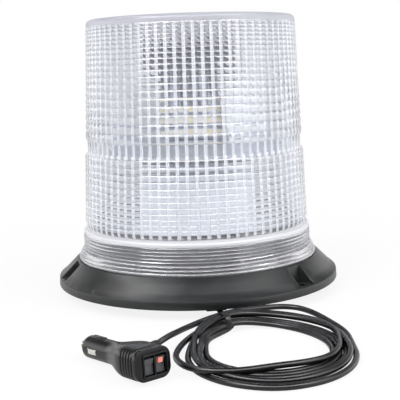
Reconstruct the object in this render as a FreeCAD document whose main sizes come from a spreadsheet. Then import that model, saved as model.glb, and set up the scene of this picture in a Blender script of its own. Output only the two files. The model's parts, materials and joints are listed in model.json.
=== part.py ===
"""Rotating warning beacon on a magnet-and-suction foot, with its cable and accessory plug.

Frame: +Z up, millimetres. The beacon's axis is the Z axis and the floor is Z = 0.
A lamp column stands still on the axis. Two mirror wings turn round it on a turntable, which a
small motor drives through a pinion and a ring gear. The clear lens screws on to the base.
"""
import FreeCAD, Part
import Sketcher
import math
import os
import re

doc = FreeCAD.newDocument("Beacon")
sheet = doc.addObject("Spreadsheet::Sheet", "Sizes")
Vector = FreeCAD.Vector


# Driving dimensions, in millimetres and degrees
SIZES = {
    # Flanged housing
    "rim_gap": 6,  # floor to the underside of the flange
    "rim_radius": 92.6,  # flange rim
    "lip_height": 4.6,  # upright edge of the rim
    "lip_step": 1.4,  # step from the rim in to the cone
    "cone_height": 11.7,  # cone between the rim and the deck
    "cone_run": 12.8,  # rim to the outer edge of the deck
    "housing_wall": 3.8,  # edge of the deck to the room inside
    "deck_thickness": 3,  # deck wall
    "spigot_inset": 5.1,  # lens skirt to the root of the lens thread
    "spigot_wall": 3.6,  # wall of the spigot
    "spigot_height": 16.5,  # spigot above the deck
    "thread_depth": 1.6,  # height of a thread ridge
    "thread_pitch": 3.6,  # from ridge to ridge
    "thread_count": 4,  # number of thread ridges
    "thread_start": 4,  # deck to the first ridge
    "notch_count": 3,  # bolt notches round the flange
    "notch_angle": -43.5,  # direction of the first notch
    "notch_width": 12.5,  # width of a bolt notch
    "notch_inset": 0.4,  # notch behind the edge of the deck, and notch floor above the rim
    "bolt_inset": 0.2,  # bolt holes inward from the middle of the notch
    "bolt_hole": 2.75,  # radius of a bolt hole
    # Closing plate and foot
    "fit_gap": 0.3,  # gap round a part that drops into its seat
    "plate_seat": 3,  # rim of the closing plate in its seat
    "plate_thickness": 3,  # closing plate
    "plate_inset": 2,  # closing plate above the rim's underside
    "seal_width": 1.4,  # width and height of the sealing ring
    "pillar_inset": 6,  # wall to the middle of a screw pillar
    "screw_radius": 1.5,  # shank of a plate or deck screw
    "screw_head": 3,  # head radius of a plate or deck screw
    "head_height": 1.8,  # head height of a plate or deck screw
    "pillar_radius": 4.5,  # screw pillar
    "pot_radius": 37,  # steel cup of the magnet
    "pot_wall": 3,  # wall of the steel cup
    "magnet_lift": 1,  # floor to the magnet
    "magnet_bore": 8,  # hole in the magnet
    "cup_radius": 58,  # lip of the suction cup
    "cup_shoulder": 50,  # top edge of the suction cup
    "cup_thickness": 3,  # rubber of the suction cup
    "lip_flat": 2.5,  # flat ring on the floor
    "foot_bolt_radius": 3,  # bolt through the magnet
    "foot_bolt_head": 5.5,  # head and nut of the bolt through the magnet
    # Cable outlet
    "exit_angle": -82,  # direction of the cable outlet
    "exit_height": 3.4,  # cable axis above the floor
    "boss_inner": 59.5,  # cable boss, inner end
    "boss_outer": 74,  # cable boss, outer end
    "boss_width": 12,  # cable boss
    "boss_lift": 0.2,  # floor to the cable boss
    "relief_radius": 2.8,  # strain relief in the boss
    "relief_length": 12.5,  # strain relief
    "relief_tip": 2.1,  # strain relief at its tip
    "cable_radius": 1.6,  # cable
    # Lens
    "lens_wall": 2.6,  # lens wall
    "lens_gap": 0.4,  # deck to the lens foot
    "foot_inset": 1,  # lens foot inside the edge of the deck
    "foot_height": 1.2,  # edge of the lens foot
    "flare_height": 7.8,  # lens foot to the end of the flare
    "flare_run": 4.1,  # lens foot in to the skirt
    "skirt_height": 18.3,  # lens skirt
    "shoulder_height": 1.4,  # shoulder above the skirt
    "groove_depth": 2.7,  # groove above the shoulder
    "groove_height": 1,  # groove above the shoulder
    "lower_inset": 1.4,  # lower prisms inside the skirt
    "lower_draft": 2.1,  # lower prisms, bottom to top
    "lower_height": 47.4,  # lower prisms
    "band_inset": 1.4,  # plain band inside the lower prisms
    "band_height": 8.8,  # plain band
    "upper_step": 0.4,  # upper prisms outside the plain band
    "upper_draft": 2.6,  # upper prisms, bottom to top
    "upper_height": 71.4,  # upper prisms
    "crown_height": 5,  # crown of the lens
    "crown_edge": 3,  # rounding of the crown
    "gasket_inset": 1.3,  # gasket inside the edge of the lens foot
    "gasket_width": 5,  # lens gasket
    "gasket_depth": 1.5,  # groove under the lens gasket
    "gasket_proud": 0.15,  # gasket above the deck
    # Deck, electronics and drum
    "chassis_inset": 1.2,  # chassis plate inside the thread
    "chassis_thickness": 2.2,  # chassis plate
    "lug_inset": 3.5,  # spigot bore to the deck screws
    "lug_height": 11,  # screw lugs inside the spigot
    "board_radius": 46,  # driver board
    "board_thickness": 1.6,  # driver board
    "standoff_height": 8.8,  # standoffs above the board
    "standoff_radius": 2.6,  # standoffs above the board
    "standoff_circle": 40,  # circle of the standoffs
    "board_screw": 1.1,  # shank of a board screw
    "wire_gap": 2.7,  # spigot bore to the supply wires
    "drum_radius": 38.5,  # drum that carries the motor
    "drum_wall": 2.5,  # wall of the drum
    "drum_height": 33,  # drum above the chassis plate
    "drum_top": 3,  # top of the drum
    "guard_height": 6.5,  # wall round the gears, above the drum
    "drum_foot": 46,  # foot flange of the drum
    "drum_foot_thickness": 2,  # foot flange of the drum
    "drum_screw_circle": 42,  # circle of the drum's screws
    "drum_screw": 1.25,  # shank of a drum or gear screw
    "drum_screw_head": 2.4,  # head radius of a drum or gear screw
    "drum_head_height": 1.2,  # head height of a drum or gear screw
    # Motor and gears
    "gear_module": 0.8,  # tooth module
    "gear_teeth": 48,  # teeth of the ring gear
    "pinion_teeth": 12,  # teeth of the pinion
    "pressure_angle": 25,  # tooth pressure angle
    "mesh_clearance": 0.15,  # added centre distance
    "gear_width": 5,  # width of both gears
    "gear_gap": 2.5,  # drum to the gears
    "motor_angle": 55,  # direction of the motor
    "motor_radius": 11.5,  # motor can
    "motor_length": 27,  # motor can
    "motor_boss": 4,  # front boss of the motor
    "boss_height": 2.4,  # front boss of the motor
    "shaft_radius": 1,  # motor shaft
    "shaft_depth": 10,  # motor shaft inside the can
    "running_gap": 0.05,  # radial clearance of a running fit
    "press_gap": 0.01,  # radial clearance of a press fit
    # Post, bearing and turntable
    "post_radius": 6,  # lamp post
    "post_bore": 3.5,  # wire way through the post
    "collar_radius": 7.5,  # collar on the post
    "nut_radius": 9.5,  # nut under the drum top
    "nut_height": 5,  # nut under the drum top
    "ball_radius": 2,  # bearing ball
    "ball_circle": 9.8,  # circle of the balls
    "ball_count": 11,  # balls in the bearing
    "bearing_width": 6,  # bearing
    "bearing_outer": 14,  # outside of the bearing
    "race_gap": 1.1,  # half of the gap between the races
    "hub_radius": 18,  # hub of the turntable
    "hub_bore": 12,  # bore of the ring gear and of the hub's ledge
    "ledge_height": 1,  # ledge under the bearing
    "table_radius": 56,  # turntable
    "table_thickness": 2.5,  # turntable
    "gear_screw_circle": 16,  # circle of the gear screws
    "gear_screw_length": 8,  # gear screw inside gear and hub
    # Mirror wings
    "wing_focus": 19,  # lamp axis to the vertex of the mirror curve
    "wing_inner": 23,  # inner edge of a mirror wing
    "wing_outer": 51.5,  # outer edge of a mirror wing
    "wing_height": 36,  # mirror wing
    "wing_wall": 1.6,  # mirror wing
    "wing_foot": 7,  # foot of a mirror wing
    "wing_foot_thickness": 2,  # foot of a mirror wing
    # Lamp column
    "lamp_gap": 2,  # turntable to the lamp column
    "column_radius": 19.5,  # lamp column
    "column_height": 48,  # lamp column
    "lamp_height": 22,  # plain part of the column that carries the light strip
    "core_radius": 11,  # core between the fins
    "fin_count": 24,  # fins round the column
    "fin_gap": 2.6,  # gap between fins
    "strip_thickness": 0.8,  # light strip
    "strip_height": 15,  # light strip
    "strip_lift": 5,  # light strip above the foot of the column
    "chip_size": 3.5,  # light chip
    "chip_thickness": 0.9,  # light chip
    "chip_count": 12,  # light chips round the strip
    "chip_rows": 2,  # rows of light chips
    "chip_pitch": 6.6,  # from row to row
    "cap_radius": 31,  # cap on the column
    "cap_height": 19,  # cap on the column
    "cap_dome": 3,  # rounded top of the cap
    "cap_screw": 2,  # screw through the cap
    "cap_screw_head": 3.8,  # screw through the cap
    "cap_screw_depth": 8,  # screw in the column
    # Accessory plug, along its own axis from the contact pin to the switch face
    "plug_x": -60.6,  # plug tip on the floor
    "plug_y": -145.6,  # plug tip on the floor
    "plug_turn": -51.8,  # direction of the plug
    "plug_lift": 0.05,  # floor to the plug
    "pin_radius": 1.8,  # contact pin
    "pin_travel": 1.5,  # travel of the contact pin
    "pin_reach": 3.5,  # contact pin in front of the nose
    "pin_flange": 2.8,  # flange of the contact pin
    "nose_radius": 4.7,  # nose collar
    "nose_tip": 2.7,  # nose collar, at the contact pin
    "nose_taper": 3,  # length of the collar's taper
    "nose_length": 4.5,  # nose collar
    "barrel_radius": 5.8,  # barrel
    "barrel_bore": 3.2,  # bore of the barrel
    "barrel_length": 21,  # barrel
    "flare_length": 9.5,  # neck between barrel and head
    "head_width": 21,  # head
    "head_tall": 16,  # head
    "head_corner": 5.6,  # rounded corner of the head
    "head_length": 20.7,  # head
    "head_wall": 1.9,  # wall of the head
    "room_corner": 1,  # rounded corner inside the head
    "carrier_wall": 0.6,  # wall of the switch carrier
    "bezel_thickness": 3,  # frame round the switches
    "bezel_inset": 0.4,  # frame inside the head's outline
    "bezel_depth": 5.5,  # switch carrier behind the frame
    "rocker_width": 5.2,  # rocker
    "rocker_tall": 7.8,  # rocker
    "rocker_tilt": 7,  # rocker at rest, from its middle
    "rocker_gap": 0.25,  # gap beside a rocker
    "rocker_divider": 0.8,  # wall between the rockers
    "rocker_swing": 0.8,  # gap above and below a rocker
    "switch_side": 1.3,  # middle of the switches, to the right of the plug's axis
    "switch_drop": 0.6,  # middle of the switches, below the plug's axis
    "pivot_depth": 1.5,  # rocker axle behind the frame
    "axle_radius": 0.8,  # rocker axle
    "indicator_size": 2.4,  # indicator window
    "fuse_radius": 2.5,  # fuse
    "fuse_length": 16,  # fuse
    "spring_length": 5,  # contact spring at rest
    "spring_wire": 0.5,  # wire radius of the contact spring
    "spring_turns": 3,  # turns of the contact spring
    "blade_length": 9,  # side contact
    "blade_width": 2.6,  # side contact
    "blade_proud": 0.45,  # side contact above the barrel
    "blade_lift": 0.6,  # fuse to the side contact, beyond its travel
    "blade_travel": 0.4,  # travel of a side contact
    "plug_screw_radius": 0.9,  # screw through the neck
    "outlet_back": 16,  # plug outlet behind the switch face
    "outlet_lean": 30,  # plug outlet leans back
    "outlet_up": 3,  # plug outlet above the plug's axis
    "outlet_radius": 2.6,  # plug strain relief
    "outlet_length": 6.5,  # plug strain relief
    # Coil on the floor
    "coil_x": 34.6,  # middle of the coil
    "coil_y": -151.5,  # middle of the coil
    "coil_half_width": 49.2,  # outside of the coil, sideways
    "coil_half_depth": 58,  # outside of the coil, front to back
    "coil_bundle": 19,  # width of the bundle of turns
    "coil_height": 9,  # height of the bundle of turns
    "tie_width": 2.4,  # cable tie
    "tie_thickness": 0.8,  # cable tie
    "tie_angle": 122,  # place of the tie round the coil
}
for row, (alias, number) in enumerate(SIZES.items(), 1):
    sheet.set(f"A{row}", alias.replace("_", " "))
    sheet.set(f"B{row}", str(number))
    sheet.setAlias(f"B{row}", alias)

doc.recompute()

# Radii that follow from the flange rim, from the outside in
RADII = {
    "cone_top_radius": "rim_radius - cone_run",
    "bolt_circle": "(rim_radius + cone_top_radius) / 2 - bolt_inset",
    "cavity_radius": "cone_top_radius - housing_wall",
    "plate_radius": "cavity_radius + plate_seat",
    "screw_circle": "cavity_radius - pillar_inset",
    "foot_radius": "cone_top_radius - foot_inset",
    "gasket_outer": "foot_radius - gasket_inset",
    "gasket_inner": "gasket_outer - gasket_width",
    "skirt_radius": "foot_radius - flare_run",
    "spigot_radius": "skirt_radius - spigot_inset",
    "chassis_radius": "spigot_radius - chassis_inset",
    "chassis_screw_circle": "spigot_radius - spigot_wall - lug_inset",
    "groove_radius": "skirt_radius - groove_depth",
    "lower_foot_radius": "skirt_radius - lower_inset",
    "lower_top_radius": "lower_foot_radius - lower_draft",
    "band_radius": "lower_top_radius - band_inset",
    "upper_foot_radius": "band_radius + upper_step",
    "upper_top_radius": "upper_foot_radius - upper_draft",
}

# Heights above the floor, and other sizes that follow from the driving ones
plate_bottom = "(rim_gap + plate_inset)"
plate_top = f"({plate_bottom} + plate_thickness)"
lip_top = "(rim_gap + lip_height)"
notch_floor = f"({lip_top} + notch_inset)"
deck_top = f"({lip_top} + cone_height)"
deck_under = f"({deck_top} - deck_thickness)"
spigot_top = f"({deck_top} + spigot_height)"
spigot_bore = "(spigot_radius - spigot_wall)"
chassis_top = f"({spigot_top} + chassis_thickness)"
board_top = f"({spigot_top} - standoff_height)"
board_under = f"({board_top} - board_thickness)"
drum_roof = f"({chassis_top} + drum_height)"
drum_ceiling = f"({drum_roof} - drum_top)"
gear_bottom = f"({drum_roof} + gear_gap)"
gear_top = f"({gear_bottom} + gear_width)"
bearing_bottom = f"({gear_top} + ledge_height)"
bearing_top = f"({bearing_bottom} + bearing_width)"
table_top = f"({bearing_top} + table_thickness)"
lamp_bottom = f"({table_top} + lamp_gap)"
lamp_top = f"({lamp_bottom} + column_height)"
cap_top = f"({lamp_top} + cap_height)"
centre_distance = "((gear_teeth + pinion_teeth) * gear_module / 2 + mesh_clearance)"
motor_x = f"({centre_distance} * cos(motor_angle))"
motor_y = f"({centre_distance} * sin(motor_angle))"
strip_radius = "(column_radius + strip_thickness)"


def full(expression):
    """Writes out every radius that follows, and puts the sheet's name before every alias."""
    def name(match):
        word = match.group(0)
        if word in RADII:
            return f"({full(RADII[word])})"
        return "Sizes." + word if word in SIZES else word
    return re.sub(r"[a-z][a-z_]*", name, str(expression))


def value(expression):
    """The number that an expression gives."""
    result = sheet.evalExpression(full(expression))
    return float(getattr(result, "Value", result))


def add_sketch(body, label, plane="XY_Plane", offset="0"):
    """A sketch on one of the body's own origin planes, moved along its normal."""
    sketch = body.newObject("Sketcher::SketchObject", label)
    features = body.Origin.OriginFeatures
    support = [feature for feature in features if feature.Role == plane][0]
    sketch.AttachmentSupport = [(support, "")]
    sketch.MapMode = "FlatFace"
    if offset != "0":
        sketch.setExpression("AttachmentOffset.Base.z", full(offset))
    return sketch


def pin_point(sketch, geometry, point, across, up):
    """Fixes a point of the sketch by its two distances from the origin."""
    for kind, place in (("DistanceX", across), ("DistanceY", up)):
        rule = Sketcher.Constraint(kind, -1, 1, geometry, point, value(place))
        index = sketch.addConstraint(rule)
        sketch.setExpression(f"Constraints[{index}]", full(place))


def draw_outline(sketch, corners):
    """A closed outline of straight lines through corners given as pairs of expressions."""
    spots = [Vector(value(across), value(up), 0) for across, up in corners]
    first = sketch.GeometryCount
    for index, spot in enumerate(spots):
        sketch.addGeometry(Part.LineSegment(spot, spots[(index + 1) % len(spots)]), False)
    for index, (across, up) in enumerate(corners):
        before = first + (index - 1) % len(corners)
        sketch.addConstraint(Sketcher.Constraint("Coincident", before, 2, first + index, 1))
        pin_point(sketch, first + index, 1, across, up)


def draw_circle(sketch, across, up, radius):
    """A circle at a place given by expressions."""
    centre = Vector(value(across), value(up), 0)
    circle = Part.Circle(centre, Vector(0, 0, 1), value(radius))
    index = sketch.addGeometry(circle, False)
    rule = sketch.addConstraint(Sketcher.Constraint("Radius", index, value(radius)))
    sketch.setExpression(f"Constraints[{rule}]", full(radius))
    pin_point(sketch, index, 3, across, up)


def draw(sketch, shapes):
    """Draws circles, given as three expressions, and outlines, given as lists of corners."""
    for shape in shapes:
        if isinstance(shape, list):
            draw_outline(sketch, shape)
        else:
            draw_circle(sketch, *shape)


def new_body(label):
    """An empty body that may hold several solids."""
    body = doc.addObject("PartDesign::Body", label)
    body.AllowCompound = True
    return body


def pad(body, shapes, bottom, height):
    """Adds material upwards from a height."""
    label = f"{body.Label}_pad_{len(body.Group)}"
    sketch = add_sketch(body, label + "_sketch", offset=bottom)
    draw(sketch, shapes)
    feature = body.newObject("PartDesign::Pad", label)
    feature.Profile = sketch
    feature.setExpression("Length", full(height))
    doc.recompute()
    return feature


def pocket(body, shapes, top, depth):
    """Takes material away downwards from a height."""
    label = f"{body.Label}_pocket_{len(body.Group)}"
    sketch = add_sketch(body, label + "_sketch", offset=top)
    draw(sketch, shapes)
    feature = body.newObject("PartDesign::Pocket", label)
    feature.Profile = sketch
    feature.setExpression("Length", full(depth))
    before = body.Shape.Volume
    doc.recompute()
    if feature.Shape.Volume >= before:
        raise RuntimeError(f"{label} cuts nothing")
    return feature


def turned(label, profile):
    """A body turned round the Z axis from corners of radius and height."""
    body = new_body(label)
    sketch = add_sketch(body, label + "_profile", "XZ_Plane")
    draw_outline(sketch, profile)
    feature = body.newObject("PartDesign::Revolution", label + "_turn")
    feature.Profile = sketch
    feature.ReferenceAxis = (sketch, ["V_Axis"])
    feature.Angle = 360
    doc.recompute()
    return body


def polar(radius, side, angle):
    """A place given by a distance along a direction and a distance to its left."""
    return (f"({radius}) * cos({angle}) - ({side}) * sin({angle})",
            f"({radius}) * sin({angle}) + ({side}) * cos({angle})")


def polar_box(inner, outer, width, angle):
    """The corners of a rectangle that points along a direction."""
    ends = ((inner, -1), (outer, -1), (outer, 1), (inner, 1))
    return [polar(radius, f"{side} * ({width}) / 2", angle) for radius, side in ends]


def ring_of(count, radius, first="0"):
    """Places evenly spaced round the Z axis."""
    return [polar(radius, "0", f"({first} + {index} * 360 / {count})") for index in range(count)]


def circles(places, radius):
    """One circle at each place."""
    return [(across, up, radius) for across, up in places]


def screws(label, places, head, shank, head_bottom, head_height, length, upwards):
    """A group of equal screws. The shank points up or down from the head."""
    body = new_body(label)
    pad(body, circles(places, head), head_bottom, head_height)
    start = f"({head_bottom} + {head_height})" if upwards else f"({head_bottom} - ({length}))"
    pad(body, circles(places, shank), start, length)
    pocket_top = f"({head_bottom} + {head_height} / 2)" if upwards else f"({head_bottom} + {head_height})"
    pocket(body, circles(places, f"{head} / 2"), pocket_top, f"{head_height} / 2")
    return body


def feature(label, shape, placement=None):
    """A sub-part whose shape is made with Part's own functions."""
    part = doc.addObject("Part::Feature", label)
    part.Shape = shape
    if placement:
        part.Placement = placement.multiply(shape.Placement)
    return part


def tube(points, radius, label):
    """A round tube on straight runs joined by tangent arcs, as large as the runs allow."""
    spots = [Vector(*point) for point in points]
    edges = []
    radii = []
    start = spots[0]
    for before, here, after in zip(spots, spots[1:], spots[2:]):
        inward = (here - before).normalize()
        outward = (after - here).normalize()
        half_turn = inward.getAngle(outward) / 2
        reach = 0.45 * min((here - before).Length, (after - here).Length)
        bend = reach / math.tan(half_turn)
        middle = (outward - inward).normalize()
        centre = here + middle * (bend / math.cos(half_turn))
        arc_start = here - inward * reach
        arc_end = here + outward * reach
        edges.append(Part.LineSegment(start, arc_start).toShape())
        edges.append(Part.Arc(arc_start, centre - middle * bend, arc_end).toShape())
        radii.append(round(bend, 1))
        start = arc_end
    edges.append(Part.LineSegment(start, spots[-1]).toShape())
    path = Part.Wire(edges)
    circle = Part.makeCircle(radius, spots[0], spots[1] - spots[0])
    solid = path.makePipeShell([Part.Wire(circle)], True, False)
    expected = math.pi * radius ** 2 * path.Length
    print(f"{label}: length {path.Length:.1f}, radii {radii}, volume share {solid.Volume / expected:.4f}")
    return solid


# ---------------------------------------------------------------- base, standing still

def base_housing():
    """Black flange, deck and threaded spigot in one moulding, open underneath."""
    seat = "(plate_radius + fit_gap)"
    ridge_edge = "thread_pitch * 0.28"
    ridge_crest = "thread_pitch * 0.11"
    profile = [(seat, "rim_gap"), ("rim_radius", "rim_gap"), ("rim_radius - lip_step / 4", lip_top),
               ("rim_radius - lip_step", notch_floor), ("cone_top_radius", deck_top),
               ("gasket_outer + fit_gap / 2", deck_top),
               ("gasket_outer + fit_gap / 2", f"{deck_top} - gasket_depth"),
               ("gasket_inner - fit_gap / 2", f"{deck_top} - gasket_depth"),
               ("gasket_inner - fit_gap / 2", deck_top), ("spigot_radius", deck_top)]
    for index in range(int(sheet.thread_count)):
        crest = f"({deck_top} + thread_start + {index} * thread_pitch)"
        profile += [("spigot_radius", f"{crest} - {ridge_edge}"),
                    ("spigot_radius + thread_depth", f"{crest} - {ridge_crest}"),
                    ("spigot_radius + thread_depth", f"{crest} + {ridge_crest}"),
                    ("spigot_radius", f"{crest} + {ridge_edge}")]
    profile += [("spigot_radius", spigot_top), (spigot_bore, spigot_top), (spigot_bore, deck_under),
                ("cavity_radius", deck_under), ("cavity_radius", plate_top), (seat, plate_top)]
    body = turned("base_housing", profile)
    pillars = ring_of(6, "screw_circle")
    lugs = ring_of(4, "chassis_screw_circle", "45")
    pad(body, circles(pillars, "pillar_radius"), plate_top, f"{deck_under} - {plate_top}")
    pad(body, circles(lugs, "pillar_radius"), f"{spigot_top} - lug_height", "lug_height")
    pocket(body, circles(pillars, "screw_radius"), f"{deck_under} - 0.5", f"{deck_under} - {plate_top}")
    pocket(body, circles(lugs, "screw_radius"), spigot_top, "lug_height - 1")
    notches = []
    holes = []
    for index in range(int(sheet.notch_count)):
        angle = f"(notch_angle + {index} * 360 / notch_count)"
        notches.append(polar_box("cone_top_radius + notch_inset", "rim_radius + 2", "notch_width", angle))
        holes.append((*polar("bolt_circle", "0", angle), "bolt_hole"))
    pocket(body, notches, deck_top, f"{deck_top} - {notch_floor}")
    pocket(body, holes, f"{notch_floor} + 1", f"{notch_floor} + 1")


def base_plate():
    """Closing plate with a groove for its seal and a boss for the cable."""
    groove_outer = "(cavity_radius + seal_width + 0.6)"
    body = turned("base_plate", [
        ("foot_bolt_radius + running_gap", plate_bottom), ("plate_radius", plate_bottom),
        ("plate_radius", plate_top), (groove_outer, plate_top),
        (groove_outer, f"{plate_top} - seal_width"),
        (f"{groove_outer} - seal_width", f"{plate_top} - seal_width"),
        (f"{groove_outer} - seal_width", plate_top), ("foot_bolt_radius + running_gap", plate_top)])
    boss = polar_box("boss_inner", "boss_outer", "boss_width", "exit_angle")
    pad(body, [boss], "boss_lift", f"{plate_bottom} - boss_lift")
    places = ring_of(6, "screw_circle")
    pocket(body, circles(places, "screw_radius + 0.2"), f"{plate_top} + 1", "plate_thickness + 2")
    pocket(body, circles(places, "screw_head + 0.2"), f"{plate_bottom} + head_height",
           "head_height + 1")
    way_up = (*polar("boss_inner + relief_radius + 1", "0", "exit_angle"), "relief_radius")
    pocket(body, [way_up], plate_top, f"{plate_top} - exit_height")
    bore = doc.addObject("Part::Cylinder", "relief_bore")
    bore.setExpression("Radius", full("relief_radius + press_gap"))
    bore.setExpression("Height", full("boss_outer - boss_inner"))
    point_along_exit(bore, "boss_inner + relief_radius + 1")
    body.Label = "base_plate_blank"
    plate = doc.addObject("Part::Cut", "base_plate")
    plate.Base = body
    plate.Tool = bore
    plate.Label = "base_plate"


def point_along_exit(part, radius):
    """Lays a part that was made along Z along the cable outlet, from a radius outwards."""
    across, up = polar(radius, "0", "exit_angle")
    part.Placement.Rotation = FreeCAD.Rotation(Vector(0, 0, 1), exit_direction())
    part.setExpression("Placement.Base.x", full(across))
    part.setExpression("Placement.Base.y", full(up))
    part.setExpression("Placement.Base.z", full("exit_height"))


def exit_direction():
    """The unit vector along which the cable leaves the base."""
    angle = math.radians(value("exit_angle"))
    return Vector(math.cos(angle), math.sin(angle), 0)


def foot():
    """Seal, screws, suction cup, magnet in its steel cup, and the bolt that holds them."""
    seal_outer = "(cavity_radius + seal_width + 0.6)"
    turned("base_seal", [(f"{seal_outer} - seal_width", f"{plate_top} - seal_width"),
                         (seal_outer, f"{plate_top} - seal_width"), (seal_outer, plate_top),
                         (f"{seal_outer} - seal_width", plate_top)])
    screws("plate_screws", ring_of(6, "screw_circle"), "screw_head", "screw_radius", plate_bottom,
           "head_height", f"{deck_under} - {plate_bottom} - head_height - 1", True)
    inner = "(pot_radius + running_gap)"
    turned("suction_cup", [(inner, plate_bottom), ("cup_shoulder", plate_bottom),
                           ("cup_radius", "lip_flat / 2"), ("cup_radius", "0"),
                           ("cup_radius - lip_flat", "0"),
                           ("cup_shoulder - cup_thickness", f"{plate_bottom} - cup_thickness"),
                           (inner, f"{plate_bottom} - cup_thickness")])
    roof = f"({plate_bottom} - pot_wall)"
    hole = "(foot_bolt_radius + running_gap)"
    turned("magnet_pot", [(hole, roof), ("pot_radius - pot_wall", roof),
                          ("pot_radius - pot_wall", "magnet_lift"), ("pot_radius", "magnet_lift"),
                          ("pot_radius", plate_bottom), (hole, plate_bottom)])
    rim = "(pot_radius - pot_wall - fit_gap)"
    turned("magnet", [("magnet_bore", "magnet_lift"), (rim, "magnet_lift"), (rim, roof),
                      ("magnet_bore", roof)])
    head = f"({roof} - foot_bolt_head / 2)"
    bolt_top = f"({plate_top} + foot_bolt_head)"
    body = turned("magnet_bolt", [("0", head), ("foot_bolt_head", head), ("foot_bolt_head", roof),
                                  ("foot_bolt_radius", roof), ("foot_bolt_radius", bolt_top),
                                  ("0", bolt_top)])
    pocket(body, [("0", "0", "foot_bolt_radius * 0.7")], f"{head} + 1.5", "2")
    nut = [polar("foot_bolt_head", "0", f"{60 * corner}") for corner in range(6)]
    pad(body, [nut], plate_top, "foot_bolt_head * 0.8")


def cable_grommet():
    """Tapered strain relief in the cable boss."""
    body = turned("cable_grommet", [
        ("0", "0"), ("relief_radius", "0"), ("relief_radius", "relief_length * 0.68"),
        ("relief_tip", "relief_length"), ("0", "relief_length")])
    point_along_exit(body, "boss_outer - relief_length * 0.65")


def chassis():
    """Deck plate on the spigot with the board's standoffs, its screws and the lens gasket."""
    body = turned("chassis_plate", [("0", spigot_top), ("chassis_radius", spigot_top),
                                    ("chassis_radius", chassis_top), ("0", chassis_top)])
    standoffs = ring_of(4, "standoff_circle", "20")
    pad(body, circles(standoffs, "standoff_radius"), board_top, "standoff_height")
    pocket(body, circles(standoffs, "board_screw"), f"{board_top} + 5", "6")
    lugs = ring_of(4, "chassis_screw_circle", "45")
    pocket(body, circles(lugs, "screw_radius + 0.2"), f"{chassis_top} + 1", "chassis_thickness + 2")
    feet = ring_of(3, "drum_screw_circle", "15")
    pocket(body, circles(feet, "drum_screw"), f"{chassis_top} + 1", "chassis_thickness + 2")
    wire_way = [("0", "0", "post_radius")]
    pocket(body, wire_way, f"{chassis_top} + 1", "chassis_thickness + 2")
    screws("chassis_screws", lugs, "screw_head", "screw_radius", chassis_top, "head_height",
           "lug_height", False)
    turned("lens_gasket", [("gasket_inner", f"{deck_top} - gasket_depth"),
                           ("gasket_outer", f"{deck_top} - gasket_depth"),
                           ("gasket_outer", f"{deck_top} + gasket_proud"),
                           ("gasket_inner", f"{deck_top} + gasket_proud")])


def electronics():
    """Driver board hung from the standoffs, with its parts, screws and supply wires."""
    board = new_body("driver_board")
    standoffs = ring_of(4, "standoff_circle", "20")
    pad(board, [("0", "0", "board_radius")], board_under, "board_thickness")
    pocket(board, circles(standoffs, "board_screw + 0.1"), f"{board_top} + 1", "board_thickness + 2")
    parts = new_body("board_parts")
    capacitors = ring_of(3, "24", "140")
    pad(parts, circles(capacitors, "4"), board_top, "standoff_height - 1.5")
    driver_chip = [("-6", "-22"), ("6", "-22"), ("6", "-12"), ("-6", "-12")]
    coil_box = [("12", "2"), ("24", "2"), ("24", "14"), ("12", "14")]
    pad(parts, [driver_chip], board_top, "2")
    pad(parts, [coil_box], board_top, "5")
    screws("board_screws", standoffs, "board_screw * 2", "board_screw", f"{board_under} - board_screw",
           "board_screw", "board_thickness + 4", True)
    inner = value("boss_outer - relief_length * 0.65")
    turn_in = value("boss_inner + relief_radius + 1")
    level = value("exit_height")
    top = value(board_under)
    solids = []
    along = exit_direction()
    for side in (-1, 1):
        offset = Vector(-along.y, along.x, 0) * side
        route = [along * inner + Vector(0, 0, level) + offset,
                 along * turn_in + Vector(0, 0, level) + offset,
                 along * value(f"{spigot_bore} - wire_gap") + Vector(0, 0, value(deck_under)) + offset,
                 along * value("board_radius - 8") + Vector(0, 0, top - 5) + offset * 2,
                 along * value("board_radius - 8") + Vector(0, 0, top) + offset * 2]
        solids.append(tube(route, 0.7, "supply wire"))
    feature("supply_wires", Part.makeCompound(solids))


def drum_and_motor():
    """White drum, the motor inside it, and their screws."""
    inner = "(drum_radius - drum_wall)"
    foot_top = f"({chassis_top} + drum_foot_thickness)"
    guard_top = f"({drum_roof} + guard_height)"
    drum = turned("motor_pedestal", [
        ("post_radius + press_gap", drum_ceiling), (inner, drum_ceiling), (inner, chassis_top),
        ("drum_foot", chassis_top), ("drum_foot", foot_top), ("drum_radius", foot_top),
        ("drum_radius", f"{guard_top} - 1"), ("drum_radius - 1", guard_top), (inner, guard_top),
        (inner, drum_roof), ("post_radius + press_gap", drum_roof)])
    feet = ring_of(3, "drum_screw_circle", "15")
    pocket(drum, circles(feet, "drum_screw + 0.1"), f"{foot_top} + 1", "drum_foot_thickness + 2")
    motor_holes = [polar(centre_distance, f"{side} * motor_radius * 0.65", "motor_angle") for side in (-1, 1)]
    pocket(drum, [(motor_x, motor_y, "motor_boss + fit_gap")], f"{drum_roof} + 1", "drum_top + 2")
    pocket(drum, circles(motor_holes, "drum_screw + 0.1"), f"{drum_roof} + 1", "drum_top + 2")
    screws("pedestal_screws", feet, "drum_screw_head", "drum_screw", foot_top, "drum_head_height",
           "drum_foot_thickness + chassis_thickness + 1.5", False)
    motor = new_body("drive_motor")
    pad(motor, [(motor_x, motor_y, "motor_radius")], f"{drum_ceiling} - motor_length", "motor_length")
    pad(motor, [(motor_x, motor_y, "motor_boss")], drum_ceiling, "boss_height")
    pocket(motor, [(motor_x, motor_y, "shaft_radius + running_gap")], f"{drum_ceiling} + boss_height + 1",
           "boss_height + 1 + shaft_depth + running_gap")
    pocket(motor, circles(motor_holes, "drum_screw"), f"{drum_ceiling} + 1", "5")
    screws("motor_screws", motor_holes, "drum_screw_head", "drum_screw", drum_roof, "drum_head_height",
           "drum_top + 3.5", False)


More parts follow.
